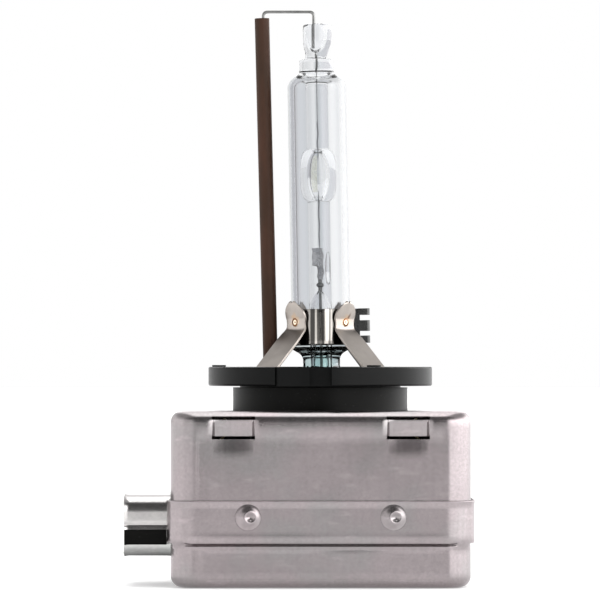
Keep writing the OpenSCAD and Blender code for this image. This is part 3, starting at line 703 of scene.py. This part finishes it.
def window_push(item, z):
    """How far the wall is pressed inwards at a lanced window, and just below it."""
    kind, place = item
    if kind not in LONG_SIDES:
        return 0.0
    across = WINDOW_HALF - abs(abs(place) - WINDOW_X)
    if across <= 0:
        return 0.0
    if STRIP_LOW - 0.01 <= z <= STRIP_TOP + 0.01:
        lower = WINDOW_TILT * (STRIP_TOP - z) / (STRIP_TOP - STRIP_LOW)
        return (WINDOW_PRESS + lower) * smooth_step(across / WINDOW_SIDE)
    if z < STRIP_LOW:
        return 0.16 * smooth_step(across / 1.6) * smooth_step(1 - (WINDOW_LOW - z) / 2.0)
    return -0.05 * smooth_step(across / 1.2)


def crease(item, z):
    """Faint upright folds beside the rounded corners, and the wall set back a little between them."""
    kind, place = item
    if kind not in LONG_SIDES:
        return 0.0
    outwards = abs(place) - CREASE_X
    fold = 0.03 * math.exp(-(outwards / 0.16) ** 2) + 0.06 * smooth_step(-outwards / 0.35)
    return fold * smooth_step((CASE_TOP - 2.6 - z) / 1.5)


def face_middle(items, heights, i, j):
    """Side, place along it and height of a face's middle; the side is None round a corner."""
    (kind, a), (other, b) = items[j], items[(j + 1) % len(items)]
    return kind if kind == other != "corner" else None, (a + b) / 2, (heights[i] + heights[i + 1]) / 2


def in_window_gap(side, place, z):
    """Whether a window's cuts have removed this place."""
    if side not in LONG_SIDES or abs(abs(place) - WINDOW_X) > WINDOW_HALF:
        return False
    return WINDOW_LOW < z < STRIP_LOW or STRIP_TOP < z < WINDOW_TOP


# The shroud's outline is drawn this far inside its box, to leave room for its flare
SHROUD_MARGIN = 0.8
SHROUD_HOLE_Y = (SHROUD_LOW.y + SHROUD_MARGIN - 0.1, SHROUD_HIGH.y - SHROUD_MARGIN + 0.1)
SHROUD_HOLE_Z = (-26.6, -17.8)


def in_shroud_hole(side, place, z):
    """Whether the connector's shroud passes through this place."""
    (y_low, y_high), (z_low, z_high) = SHROUD_HOLE_Y, SHROUD_HOLE_Z
    return side == "left" and y_low < place < y_high and z_low < z < z_high


# Places along the front and back that need their own column of points
WINDOW_INSETS = (0.0, 0.1, 0.2, WINDOW_SIDE)
WINDOW_MARKS = [side * (WINDOW_X + edge * (WINDOW_HALF - inset))
                for side in (-1, 1) for edge in (-1, 1) for inset in WINDOW_INSETS]
CREASE_MARKS = [side * (CREASE_X + 0.1 * step) for side in (-1, 1) for step in range(-4, 2)]
TOP_STEPS = 12
ROOF_STEPS = 9


def upper_rows():
    """Rows of the upper shell from its rim over the rounded top edge, as (inset, height)."""
    edge_z = CASE_TOP - EDGE_R
    rows = [(0.0, z) for z in stops(UPPER_RIM, edge_z, 0.7, [WINDOW_LOW, STRIP_LOW, SHROUD_HOLE_Z[1]])]
    cuts = [math.degrees(math.asin((z - edge_z) / EDGE_R)) for z in (STRIP_TOP, WINDOW_TOP)]
    even = [90 * i / TOP_STEPS for i in range(1, TOP_STEPS + 1)]
    angles = sorted(cuts + [a for a in even if all(abs(a - at) > 2 for at in cuts)])
    return rows + [(EDGE_R * (1 - math.cos(math.radians(a))), edge_z + EDGE_R * math.sin(math.radians(a)))
                   for a in angles]


def make_upper_shell():
    items = perimeter(WINDOW_MARKS + CREASE_MARKS, SHROUD_HOLE_Y)
    rows = upper_rows()
    verts = []
    for inset, z in rows:
        for item in items:
            x, y = perimeter_point(item, inset)
            wave = max(-0.02, wobble(x, y, z, 0.09, 0.10) * flatness(item))
            push = window_push(item, z) + crease(item, z)
            verts.append((*perimeter_point(item, inset + push + wave), z))
    for t in [smooth_step(i / ROOF_STEPS) for i in range(1, ROOF_STEPS + 1)]:
        for item in items:
            edge = perimeter_point(item, EDGE_R)
            x, y = edge.lerp(edge.normalized() * SPIGOT_HOLE_R, t)
            dip = wobble(x, y, 3.0, 0.12, 0.05) * (1 - abs(2 * t - 1))
            verts.append((x, y, CASE_TOP - abs(dip)))
    heights = [z for _, z in rows]

    def skip(i, j):
        if i >= len(rows) - 1:
            return False
        middle = face_middle(items, heights, i, j)
        return in_window_gap(*middle) or in_shroud_hole(*middle)

    faces = grid_faces(len(rows) + ROOF_STEPS, len(items), wrap=True, skip=skip)
    make_sheet("upper_shell_skin", verts, faces, "case", ["upper_shell"], SHEET, 45)


# Fold at the band's lower edge, as (inset, height above the band's bottom); the lower panel's own press
# takes the place of the first inset
JOGGLE = [(0.0, -0.75), (0.0, -0.42), (0.0, -0.34), (0.06, -0.25), (0.34, -0.21), (0.40, -0.12), (0.28, 0.0),
          (-0.25, 0.0), (-0.42, 0.05), (-0.50, 0.16), (-0.54, 0.36)]
JOGGLE_LOW = BAND_BOTTOM - 0.9
JOGGLE_H = 1.5

# Rows of the band's upper rim, as (inset from the band's box, depth below its top)
BAND_LIP = ((0.01, 0.18), (0.0, 0.12), (0.02, 0.04), (0.1, 0.0))
FLOOR_RINGS = 8
BOTTOM_STEPS = 10


def panel_press(item, z):
    """The lower panel stands a little back from the rim round it."""
    kind, place = item
    if kind == "corner":
        return 0.0
    edge = min(side_half(kind) + 0.1 - abs(place), (z - CASE_BOTTOM - 0.9) * 1.3)
    return 0.16 * smooth_step(edge / 0.5)


def lower_point(item, inset, z):
    """A point of the lower shell's wall, with the panel's press and the sheet's unevenness."""
    x, y = perimeter_point(item, inset)
    wave = wobble(x + 9, y, z, 0.09, 0.08) * flatness(item)
    if inset < 0:
        inset += max(0.0, wave)
    else:
        inset += wave * 0.6 + (panel_press(item, z) if z < BAND_BOTTOM else 0.0)
    return (*perimeter_point(item, inset), z)


def joggle_point(item, step):
    """The joggle is a tight fold on the flats and a soft one round the corners."""
    t = (step + 1) / len(JOGGLE)
    soft_inset, soft_z = (BAND_DRAWN - BAND_STEP) * smooth_step(t), JOGGLE_LOW + JOGGLE_H * t
    tight_inset, tight_z = JOGGLE[step][0], BAND_BOTTOM + JOGGLE[step][1]
    if step == 0:
        tight_inset = panel_press(item, tight_z)
    share = fold_share(item)
    x, y = perimeter_point(item, soft_inset + (tight_inset - soft_inset) * share)
    return x, y, soft_z + (tight_z - soft_z) * share + wobble(x, y, 0.0, 0.05, 0.06) * share


def make_lower_shell():
    items = perimeter([], SHROUD_HOLE_Y)
    columns = len(items)
    verts, heights = [], []
    for i in range(1, FLOOR_RINGS):
        edges = [perimeter_point(item, EDGE_R) * (i / FLOOR_RINGS) for item in items]
        verts += [(*edge, CASE_BOTTOM) for edge in edges]
        heights.append(CASE_BOTTOM)
    edge_z = CASE_BOTTOM + EDGE_R
    below = arc(EDGE_R, edge_z, EDGE_R, -90, -180, BOTTOM_STEPS)
    below += [(0.0, z) for z in stops(edge_z, JOGGLE_LOW, 0.6, [SHROUD_HOLE_Z[0]])[1:]]
    band = [(BAND_DRAWN - BAND_STEP, z) for z in stops(JOGGLE_LOW + JOGGLE_H, BAND_TOP - 0.55, 0.6)[1:]]
    band += [(inset - BAND_STEP, BAND_TOP - depth) for inset, depth in BAND_LIP]
    for inset, z in below:
        verts += [lower_point(item, inset, z) for item in items]
        heights.append(z)
    for step in range(len(JOGGLE)):
        verts += [joggle_point(item, step) for item in items]
        heights.append(JOGGLE_LOW + JOGGLE_H * (step + 1) / len(JOGGLE))
    for inset, z in band:
        verts += [lower_point(item, inset, z) for item in items]
        heights.append(z)

    def skip(i, j):
        return in_shroud_hole(*face_middle(items, heights, i, j))

    faces = grid_faces(len(heights), columns, wrap=True, skip=skip)
    centre = len(verts)
    verts.append((0.0, 0.0, CASE_BOTTOM))
    faces += [(centre, (j + 1) % columns, j) for j in range(columns)]
    make_sheet("lower_shell_skin", verts, faces, "case", ["lower_shell"], SHEET, 60)


CRIMP_X = 10.1
CRIMP_Z = (BAND_TOP + BAND_BOTTOM) / 2 + 0.7
CRIMP_H = 0.43


def make_crimps():
    """Round crimps that lock the two shells: a dome with a punched crater off its middle."""
    face_y = CASE_D / 2 + BAND_STEP
    radii = [0.1 * i for i in range(19)]
    profile = [(r, CRIMP_H * math.exp(-((r / 1.2) ** 3.6)) - 0.02) for r in radii]
    profile += [(1.9, -0.2), (0.0, -0.2)]
    dome, dome_faces = revolve(profile, 40, flip=True)
    shapes = []
    for side_y in (-1, 1):
        for side_x in (-1, 1):
            verts = []
            for x, y, z in dome:
                crater = math.exp(-((math.hypot(x - 0.32, y - 0.02) / 0.55) ** 2.6))
                if z > -0.1:
                    z -= 0.46 * crater
                verts.append((side_x * CRIMP_X + x, side_y * (face_y + z), CRIMP_Z + y))
            faces = [tuple(reversed(face)) for face in dome_faces] if side_y > 0 else dome_faces
            shapes.append((verts, faces))
    make_object("band_crimps", *joined(*shapes), "case", smooth=50)


# ------ connector


# The slot in the shroud's front, from its mouth to SLOT_END, and the groove above it
SLOT_LOW, SLOT_HIGH = -24.9, -22.8
SLOT_END = -21.6
GROOVE_Z = -22.15
SHROUD_SHEET = 0.45


def shroud_front_y(y, z):
    """The shroud's front face, with a groove pressed in and the slot's lips turned out."""
    groove = 0.12 * math.exp(-((z - GROOVE_Z) / 0.16) ** 2)
    lips = 0.06 * math.exp(-((z - SLOT_HIGH) / 0.25) ** 2) + 0.05 * math.exp(-((z - SLOT_LOW) / 0.25) ** 2)
    return y + (groove - lips)


def shroud_section(y_front, y_back, z_low, z_high):
    """Outline of the sleeve, down its front and then round its back, as (y, z)."""
    top_r, low_r, back_r = 2.2, 0.8, 0.9
    marks = [SLOT_LOW, SLOT_LOW - 0.2, SLOT_LOW + 0.2, SLOT_HIGH, SLOT_HIGH + 0.2]
    marks += [GROOVE_Z + offset for offset in (-0.25, -0.1, 0.0, 0.1, 0.25)]
    heights = stops(z_low + low_r, z_high - top_r, 0.3, marks)[::-1]
    section = [(shroud_front_y(y_front, z), z) for z in heights]
    section += arc(y_front + low_r, z_low + low_r, low_r, 180, 270, 6)[1:]
    section += [(y, z_low) for y in stops(y_front + low_r, y_back - back_r, 1.5)[1:]]
    section += arc(y_back - back_r, z_low + back_r, back_r, 270, 360, 6)[1:]
    section += [(y_back, z) for z in stops(z_low + back_r, z_high - back_r, 1.5)[1:]]
    section += arc(y_back - back_r, z_high - back_r, back_r, 0, 90, 6)[1:]
    section += [(y, z_high) for y in stops(y_front + top_r, y_back - back_r, 1.5)[::-1][1:]]
    return section + arc(y_front + top_r, z_high - top_r, top_r, 90, 180, 8)[1:-1]


def make_shroud():
    """Drawn sleeve with creased front, a slot that opens at the mouth, and a flared root."""
    y_front, y_back = SHROUD_LOW.y + SHROUD_MARGIN, SHROUD_HIGH.y - SHROUD_MARGIN
    z_low, z_high = SHROUD_LOW.z + SHROUD_MARGIN, SHROUD_HIGH.z - SHROUD_MARGIN
    section = shroud_section(y_front, y_back, z_low, z_high)
    mouth = SHROUD_LOW.x + 0.16
    root = -CASE_W / 2 + 0.9
    xs = stops(mouth, root, 0.35, [SLOT_END])
    verts = []
    for x in xs:
        flare = 0.35 * smooth_step((x - (root - 1.6)) / 1.6) ** 2
        grow = flare - 0.12 * smooth_step((mouth + 0.5 - x) / 0.5)
        for y, z in section:
            dy, dz = y - (y_front + y_back) / 2, z - (z_low + z_high) / 2
            verts.append((x, y + math.copysign(grow, dy) * min(1, abs(dy) / 6),
                          z + math.copysign(grow, dz) * min(1, abs(dz) / 3)))
    count = len(section)

    def skip(i, j):
        z = (section[j][1] + section[(j + 1) % count][1]) / 2
        on_front = section[j][0] < y_front + 0.4
        return on_front and SLOT_LOW < z < SLOT_HIGH and (xs[i] + xs[i + 1]) / 2 < SLOT_END

    faces = grid_faces(len(xs), count, wrap=True, skip=skip)
    make_sheet("connector_shroud_skin", verts, faces, "shroud", ["connector_shroud"],
               SHROUD_SHEET, 50)


# ------ legs and clamp


LOBE_R = 2.0
LOBE_Z = 7.15
LOBE_STEPS = 14
WAIST_Z = 6.1
WAIST_HALF, FOOT_HALF = 1.84, 2.25
LEG_SHEET = 0.3

# The leg's middle line: down in the flange, up at the foot, flat against the band, and out at the lobe's tip
ROOT_Z = -2.5
FOOT_R, FOOT_Z = 10.45, -0.6
LEG_CLAMP_R, CLAMP_FOOT_Z, TIP_Z = 4.53, 5.2, 6.9
TIP_OUT = 0.75


def leg_half_width(z):
    """Half width of a leg at a height, from its round lobe down to its wide foot."""
    if z > LOBE_Z:
        return max(0.02, math.sqrt(max(0.0, LOBE_R ** 2 - (z - LOBE_Z) ** 2)))
    if z > WAIST_Z:
        return WAIST_HALF + (LOBE_R - WAIST_HALF) * smooth_step((z - WAIST_Z) / (LOBE_Z - WAIST_Z))
    return WAIST_HALF + (FOOT_HALF - WAIST_HALF) * smooth_step((WAIST_Z - z) / 2.6)


def leg_line():
    """Closely spaced points of the leg's middle line, as (distance from the axis, height)."""
    corners = [(FOOT_R, ROOT_Z), (FOOT_R, FOOT_Z), (LEG_CLAMP_R, CLAMP_FOOT_Z), (LEG_CLAMP_R, TIP_Z),
               (LEG_CLAMP_R + TIP_OUT, LEG_TOP)]
    path = rounded_path(corners, 1.0, 8)
    line = []
    for a, b in zip(path, path[1:]):
        count = max(1, round((b - a).length / 0.25))
        line += [a.lerp(b, i / count) for i in range(count)]
    line = [p for p in line if p.y < LOBE_Z + 0.2]
    for i in range(1, LOBE_STEPS + 1):
        z = LOBE_Z + LOBE_R * math.sin(math.radians(6 + 83 * i / LOBE_STEPS))
        if z > line[-1].y + 0.02:
            line.append(Vector((LEG_CLAMP_R + TIP_OUT * (z - TIP_Z) / (LEG_TOP - TIP_Z), z)))
    return line


def make_leg(name, azimuth):
    """Flat sheet leg whose lobe curls a little round the band."""
    line = leg_line()
    across = [math.sin(math.radians(90 * (i / 6 - 1))) for i in range(13)]
    turn = Matrix.Rotation(math.radians(azimuth), 3, "Z")
    verts = []
    for point in line:
        half = leg_half_width(point.y)
        for v in across:
            curl = 0.10 * v * v * smooth_step((point.y - 4.8) / 1.0)
            verts.append(turn @ Vector((point.x - curl, v * half, point.y)))
    faces = grid_faces(len(line), len(across))
    piece = make_object(name + "_sheet", verts, faces, "spring_steel", [name], smooth=60)
    solidify(piece, LEG_SHEET, offset=1.0)
    bevel(piece, 0.05, 60)


# Outer face of a leg where its spot weld sits, and the weld's height
WELD_R, WELD_Z = 4.84, 6.35
WELD_PROFILE = [(0.0, 0.02), (0.12, 0.02), (0.2, 0.06), (0.36, 0.06), (0.42, 0.04), (0.6, 0.03),
                (0.68, -0.02), (0.68, -0.1), (0.0, -0.1)]
# Rings of the profile that carry the heat tint
BROWN_RINGS = (0, 3, 4)


def make_welds():
    """Spot welds on the legs: a pale button inside a ring of brown heat tint."""
    segments = 32
    button, faces = revolve(WELD_PROFILE, segments)
    shapes = []
    for azimuth in LEG_AZIMUTHS.values():
        turn = Matrix.Rotation(math.radians(azimuth), 3, "Z")
        shapes.append(([turn @ Vector((WELD_R + z, x, WELD_Z + y)) for x, y, z in button], faces))
    piece = make_object("leg_spot_welds", *joined(*shapes), "spring_steel", smooth=60, material=WELD_STEEL)
    piece.data.materials.append(WELD_TINT)
    for polygon in piece.data.polygons:
        ring = polygon.index % (segments * (len(WELD_PROFILE) - 1)) // segments
        polygon.material_index = 1 if ring in BROWN_RINGS else 0


CLAMP_Z = (3.2, 8.25)
CLAMP_R = (4.215, 4.45)
CLAMP_ROLL = 0.08
LUG_SHEET = 0.22
# The lug's three fingers, as (middle height, width)
FINGERS = ((3.85, 1.05), (5.8, 1.55), (7.8, 0.95))


def make_clamp_ring():
    """Clamp band with rolled edges and a slight ripple round it."""
    low, high = CLAMP_Z
    inner, outer = CLAMP_R
    roll = CLAMP_ROLL
    profile = arc(outer - roll, low + roll, roll, -90, 0, 3)
    profile += [(outer, z) for z in stops(low + roll, high - roll, 0.5)[1:]]
    profile += arc(outer - roll, high - roll, roll, 0, 90, 3)[1:]
    verts, faces = revolve(profile + [(inner, high), (inner, low)], 128)
    rippled = []
    for x, y, z in verts:
        a = math.atan2(y, x)
        ripple = 1 + 0.0025 * math.sin(11 * a) + 0.0018 * math.sin(23 * a + 1)
        rippled.append((x * ripple, y * ripple, z))
    make_object("clamp_band_ring", lean(rippled), faces, "clamp_steel", ["clamp_band"], smooth=40)


def make_clamp_lug():
    """Closing lug: two plates, and three fingers that hook over from one to the other."""
    low, high = CLAMP_Z
    shapes = []
    for y in (-0.16, 0.16):
        plate = [Vector((CLAMP_R[1] - 0.1, y)), Vector((5.6, y))]
        shapes.append(sheet_along(plate, LUG_SHEET, low + 0.1, high))
    hook = rounded_path([(5.3, -0.34), (6.93, -0.34), (6.93, 0.34), (5.9, 0.34)], 0.3, 6)
    for z, width in FINGERS:
        shapes.append(sheet_along(hook, LUG_SHEET, z - width / 2, z + width / 2))
    verts, faces = joined(*shapes)
    lug = make_object("clamp_band_lug", lean(verts), faces, "clamp_steel", smooth=40, material=LUG_STEEL)
    bevel(lug, 0.04, 50)


def sheet_along(path, thickness, low, high):
    """Upright strip of sheet that follows a path in the XY plane."""
    left, right = [], []
    for i, p in enumerate(path):
        before, after = path[max(0, i - 1)], path[min(len(path) - 1, i + 1)]
        along = (after - before).normalized()
        across = Vector((-along.y, along.x)) * thickness / 2
        left.append(p + across)
        right.append(p - across)
    ring = right + left[::-1]
    count = len(ring)
    verts = [(p.x, p.y, z) for z in (low, high) for p in ring]
    faces = [(i, (i + 1) % count, count + (i + 1) % count, count + i) for i in range(count)]
    for i in range(len(path) - 1):
        j = count - 1 - i
        faces.append((i, j, j - 1, i + 1))
        faces.append((count + i, count + i + 1, count + j - 1, count + j))
    return verts, faces


# ------ glass


JACKET_R, JACKET_WALL = 4.2, 1.0
CAVITY_R = JACKET_R - JACKET_WALL
SHOULDER_Z = 39.9
NECK_R, NECK_TOP = 2.65, 0.9
RING_R, RING_TOP = 2.45, 43.7
STUB_R, STUB_LOW = 2.05, 46.3
STEM_R = 1.6
BULGE_R, BULGE_HALF, BULGE_STEPS = 2.6, 3.8, 32
CHAMBER_R, CHAMBER_HALF, CHAMBER_POWER = 1.16, 3.2, 0.8

# Small profiles of the fused glass, as (radius, height)
RING_FILLET = [(2.74, 41.98), (2.61, 42.08), (2.52, 42.24), (2.47, 42.45), (2.45, 42.7)]
STUB_WAIST = [(1.75, 44.12), (1.68, 44.3), (1.7, 44.7), (1.8, 45.1), (1.95, 45.6)]
STUB_CUP = [(2.0, 48.94), (1.88, 49.06), (1.7, 49.1), (1.5, 49.06), (1.34, 48.9), (1.27, 48.6), (1.22, 47.2),
            (1.05, 46.4), (0.72, 45.7), (0.35, 45.25), (0.0, 45.0)]
NECK_BORE = [(0.0, 11.0), (0.25, 10.85), (0.55, 10.3), (0.85, 9.6), (1.05, 8.9), (1.1, 8.0), (1.1, 2.0)]


def glass_outside():
    """Profile from the neck's bore, over its foot, up the jacket and into the cup on top of the stub."""
    heel_r, heel_z, fillet_r, top_r = 0.75, 2.2, 1.3, 2.2
    outer = [(1.1, -4.2), *arc(NECK_R - 0.2, -4.0, 0.2, -90, 0, 3)]
    outer += [(NECK_R, z) for z in stops(-3.8, NECK_TOP, 0.8)[1:]]
    outer += arc(NECK_R + fillet_r, NECK_TOP, fillet_r, 180, 100, 8)[1:]
    outer += arc(JACKET_R - heel_r, heel_z + heel_r, heel_r, -80, 0, 8)
    outer += [(JACKET_R, z) for z in stops(heel_z + heel_r, SHOULDER_Z, 2.0)[1:]]
    outer += arc(JACKET_R - top_r, SHOULDER_Z, top_r, 0, 66, 10)[1:]
    outer += [*RING_FILLET, (RING_R, RING_TOP), *arc(RING_R - 0.4, RING_TOP, 0.4, 0, 80, 5)[1:]]
    outer += [*STUB_WAIST, (STUB_R, STUB_LOW)]
    outer += [(STUB_R, z) for z in stops(STUB_LOW, 48.75, 0.8)[1:]]
    return NECK_BORE + outer + STUB_CUP


def glass_gap():
    """Profile of the space between jacket and burner, up the jacket's inside and down the burner."""
    low, heel_r, dome_r, top = 4.0, 0.9, 1.2, 40.75
    gap = [(STEM_R, low), *arc(CAVITY_R - heel_r, low + heel_r, heel_r, -90, 0, 8)]
    gap += [(CAVITY_R, z) for z in stops(low + heel_r, SHOULDER_Z, 2.0)[1:]]
    gap += arc(CAVITY_R - dome_r, SHOULDER_Z, dome_r, 0, 80, 10)[1:]
    gap += [(STEM_R + 0.12, top + 0.25), (STEM_R, top)]
    gap += [(STEM_R, z) for z in stops(LIGHT_CENTRE + BULGE_HALF + 0.1, top, 1.5)[::-1][1:]]
    for i in range(1, BULGE_STEPS):
        t = math.cos(math.pi * i / BULGE_STEPS)
        ends = smooth_step((1 - abs(t)) / 0.12)
        r = STEM_R + (BULGE_R - STEM_R) * math.sqrt(1 - abs(t) ** 2.6) * ends
        gap.append((r, LIGHT_CENTRE + BULGE_HALF * t))
    return gap + [(STEM_R, z) for z in stops(low, LIGHT_CENTRE - BULGE_HALF - 0.1, 1.5)[::-1][:-1]]


def pod(radius, half_length, middle, power, steps, taper=0.0):
    """Profile of a closed hollow from pole to pole; taper makes it narrower towards the top."""
    points = []
    for i in range(steps + 1):
        a = math.radians(-90 + 180 * i / steps)
        r = radius * max(0.0, math.cos(a)) ** power * (1 - taper * math.sin(a))
        points.append((r if 0 < i < steps else 0.0, middle + half_length * math.sin(a)))
    return points


def skewed_stub(x, y, z):
    """The stub leans to the right over its waist, which is pinched on the right."""
    if z > 44.2 and math.hypot(x, y) > 1.5:
        x += 0.22 * smooth_step((z - 44.2) / 0.8) - 0.3 * smooth_step((46.9 - z) / 1.6) * max(0.0, x / STUB_R)
    return x, y, z


def make_glass():
    """Jacket and burner fused into one body, with the gap, the arc chamber and the bores inside."""
    body, body_faces = revolve(glass_outside(), 128)
    gap = revolve(glass_gap(), 128, flip=True)
    chamber = revolve(pod(CHAMBER_R, CHAMBER_HALF, LIGHT_CENTRE, CHAMBER_POWER, 24), 64, flip=True)
    bubble, bubble_faces = revolve(pod(0.40, 2.35, 14.1, 0.9, 16, 0.15), 32, flip=True)
    bubble = [(x + 0.92, y - 0.25, z) for x, y, z in bubble]
    verts, faces = joined(([skewed_stub(*v) for v in body], body_faces), gap, chamber, (bubble, bubble_faces))
    make_object("fused_glass", lean(verts), faces, "quartz", ["outer_jacket", "discharge_vessel"],
                smooth=50)


def make_salt():
    """Thin patch of halide salt on the rear left of the arc chamber's wall."""
    rows, columns = 12, 10
    verts = []
    for inside in (0.03, 0.07):
        for i in range(rows + 1):
            t = -0.52 + 1.22 * i / rows
            radius = CHAMBER_R * math.cos(t * math.pi / 2 * 0.98) ** CHAMBER_POWER - inside
            for j in range(columns + 1):
                side = math.radians(100 + 72 * j / columns)
                edge = 1 - 0.12 * math.sin(5 * t + j)
                verts.append((radius * math.cos(side), radius * math.sin(side) * edge,
                              LIGHT_CENTRE + CHAMBER_HALF * math.sin(t * math.pi / 2)))
    count = (rows + 1) * (columns + 1)
    near = grid_faces(rows + 1, columns + 1)
    far = [tuple(count + v for v in reversed(face)) for face in near]
    ring = list(range(columns + 1))
    ring += [i * (columns + 1) + columns for i in range(1, rows + 1)]
    ring += [rows * (columns + 1) + j for j in range(columns - 1, -1, -1)]
    ring += [i * (columns + 1) for i in range(rows - 1, 0, -1)]
    rim = [(b, a, count + a, count + b) for a, b in zip(ring, ring[1:] + ring[:1])]
    make_object("salt_deposit", lean(verts), near + far + rim, "salt", ["salt_film"])


FOIL_LOW, FOIL_H, FOIL_SHEET = 12.5, 4.5, 0.04
# The foil's flag starts at this height, above its narrow tail
FLAG_Z = 14.5


def make_lower_foil():
    """Curled sealing foil: a flag-shaped sheet on a narrow tail, with crumpled edges."""
    rows, columns = 24, 8
    verts = []
    for i in range(rows + 1):
        z = FOIL_LOW + FOIL_H * i / rows
        left = -0.72 if z > FLAG_Z else -0.22
        right = 0.35 - 0.06 * math.sin(3.1 * z)
        for j in range(columns + 1):
            u = j / columns
            x = left + (right - left) * u + 0.03 * math.sin(4.7 * z + j)
            curl = 0.45 * (u - 0.7) ** 2 + 0.04 * math.sin(2.2 * z + 1.3 * u)
            verts.append((x, curl - 0.06, z))
    faces = grid_faces(rows + 1, columns + 1)
    make_sheet("lower_foil_sheet", lean(verts), faces, "molybdenum", ["lower_foil"],
               FOIL_SHEET, 40, 0.0)


# Thin wires as node: (radius, how far they sway)
THIN_WIRES = {"upper_lead": (0.10, 0.05), "upper_electrode": (0.075, 0.05), "lower_electrode": (0.075, 0.03)}


def make_thin_wire(node, radius, sway, slot):
    """A slightly kinked wire that stands in for a straight one on the burner's axis."""
    low, high = box_mm(node)
    segments, steps = 12, 14
    verts = []
    for i in range(steps + 1):
        z = low.z + (high.z - low.z) * i / steps
        bend = sway * math.sin(math.pi * i / steps) * math.sin(1.9 * z + 0.7)
        r = radius * (0.45 if i in (0, steps) else 1.0)
        verts += [(bend + x, y, z) for x, y, z in ring_points(r, z, segments)]
    faces = grid_faces(steps + 1, segments, wrap=True)
    faces.append(tuple(reversed(range(segments))))
    faces.append(tuple(steps * segments + j for j in range(segments)))
    make_object(node + "_wire", lean(verts), faces, slot, [node])


# ------ build

# Painted shade and painted reflection bands on the shroud, darker at its top, at its bottom and just below
# its top rounding, as (height in mm, brightness)
SHROUD_PAINTED_BANDS = [(-26.6, 0.45), (-25.5, 0.55), (-24.9, 1.0), (-22.9, 1.0), (-19.8, 0.9), (-19.2, 0.8),
                (-18.3, 1.0), (-18.0, 0.6), (-17.6, 0.45)]
SHROUD_METAL = case_metal("shroud_metal", (0.52, 0.503, 0.498), (0.1, 1.6, 1.6), (0.15, 0.25))

MATERIALS = {
    "case": case_metal("case_metal", (0.335, 0.296, 0.303), (2.2, 2.2, 0.10), (0.21, 0.27)),
    "shroud": painted_shade_by_height(SHROUD_METAL, SHROUD_PAINTED_BANDS),
    "black_plastic": plastic("black_plastic", (0.0022, 0.0022, 0.0018), (0.3, 0.42), speckle=0.4, gloss=0.08),
    "flange_plastic": plastic("flange_plastic", (0.0016, 0.0018, 0.0018), (0.28, 0.38), gloss=0.11),
    "seal_rubber": simple("seal_rubber", (0.35, 0.13, 0.10), 0.0, (0.5, 0.7)),
    "contact_metal": simple("contact_metal", (0.78, 0.68, 0.42), 1.0, (0.2, 0.35)),
    "spring_steel": leg_steel("spring_steel", (0.36, 0.325, 0.298)),
    "clamp_steel": steel_with_painted_reflections("clamp_steel", (0.06, 0.057, 0.054), (0.54, 0.51, 0.475)),
    "quartz": clear_glass("quartz"),
    "salt": salt_layer("salt"),
    "tungsten": simple("tungsten", (0.36, 0.36, 0.38), 1.0, (0.3, 0.45)),
    "molybdenum": simple("molybdenum", (0.40, 0.40, 0.41), 1.0, (0.2, 0.32)),
    "nickel_wire": simple("nickel_wire", (0.22, 0.22, 0.215), 1.0, (0.25, 0.4)),
    "brown_ceramic": ceramic("brown_ceramic", (0.034, 0.017, 0.010), (0.050, 0.022, 0.013)),
    "white_ceramic": ceramic("white_ceramic", (0.85, 0.84, 0.80), (0.78, 0.76, 0.72)),
    "tray_plastic": plastic("tray_plastic", (0.02, 0.018, 0.018)),
    "bobbin_plastic": plastic("bobbin_plastic", (0.72, 0.64, 0.48)),
    "ferrite": simple("ferrite", (0.03, 0.03, 0.033), 0.0, (0.4, 0.6)),
    "copper": winding("copper_wire", (0.62, 0.33, 0.15), 0.15),
    "capacitor_resin": simple("capacitor_resin", (0.55, 0.30, 0.08), 0.0, (0.2, 0.35)),
    "resistor_lacquer": simple("resistor_lacquer", (0.2, 0.35, 0.45), 0.0, (0.25, 0.4)),
}

LUG_STEEL = steel("lug_steel", (0.07, 0.07, 0.069), (0.14, 0.24))
WELD_STEEL = steel("weld_steel", (0.72, 0.62, 0.48), (0.3, 0.4))
WELD_TINT = steel("weld_tint", (0.16, 0.065, 0.025), (0.3, 0.45))

SLOTS = {entry["node"]: entry["material_slot"] for entry in frame["record"]["subparts"]}


def dress_cad_nodes():
    """Every CAD node takes its slot's material."""
    for name, node in frame["nodes"].items():
        node.data.materials.clear()
        node.data.materials.append(MATERIALS[SLOTS[name]])


make_stage()
dress_cad_nodes()
make_upper_shell()
make_lower_shell()
make_crimps()
make_shroud()
for leg_name, leg_azimuth in LEG_AZIMUTHS.items():
    make_leg(leg_name, leg_azimuth)
make_welds()
make_clamp_ring()
make_clamp_lug()
make_glass()
make_salt()
make_lower_foil()
for thin_node, (thin_radius, thin_sway) in THIN_WIRES.items():
    make_thin_wire(thin_node, thin_radius, thin_sway, SLOTS[thin_node])
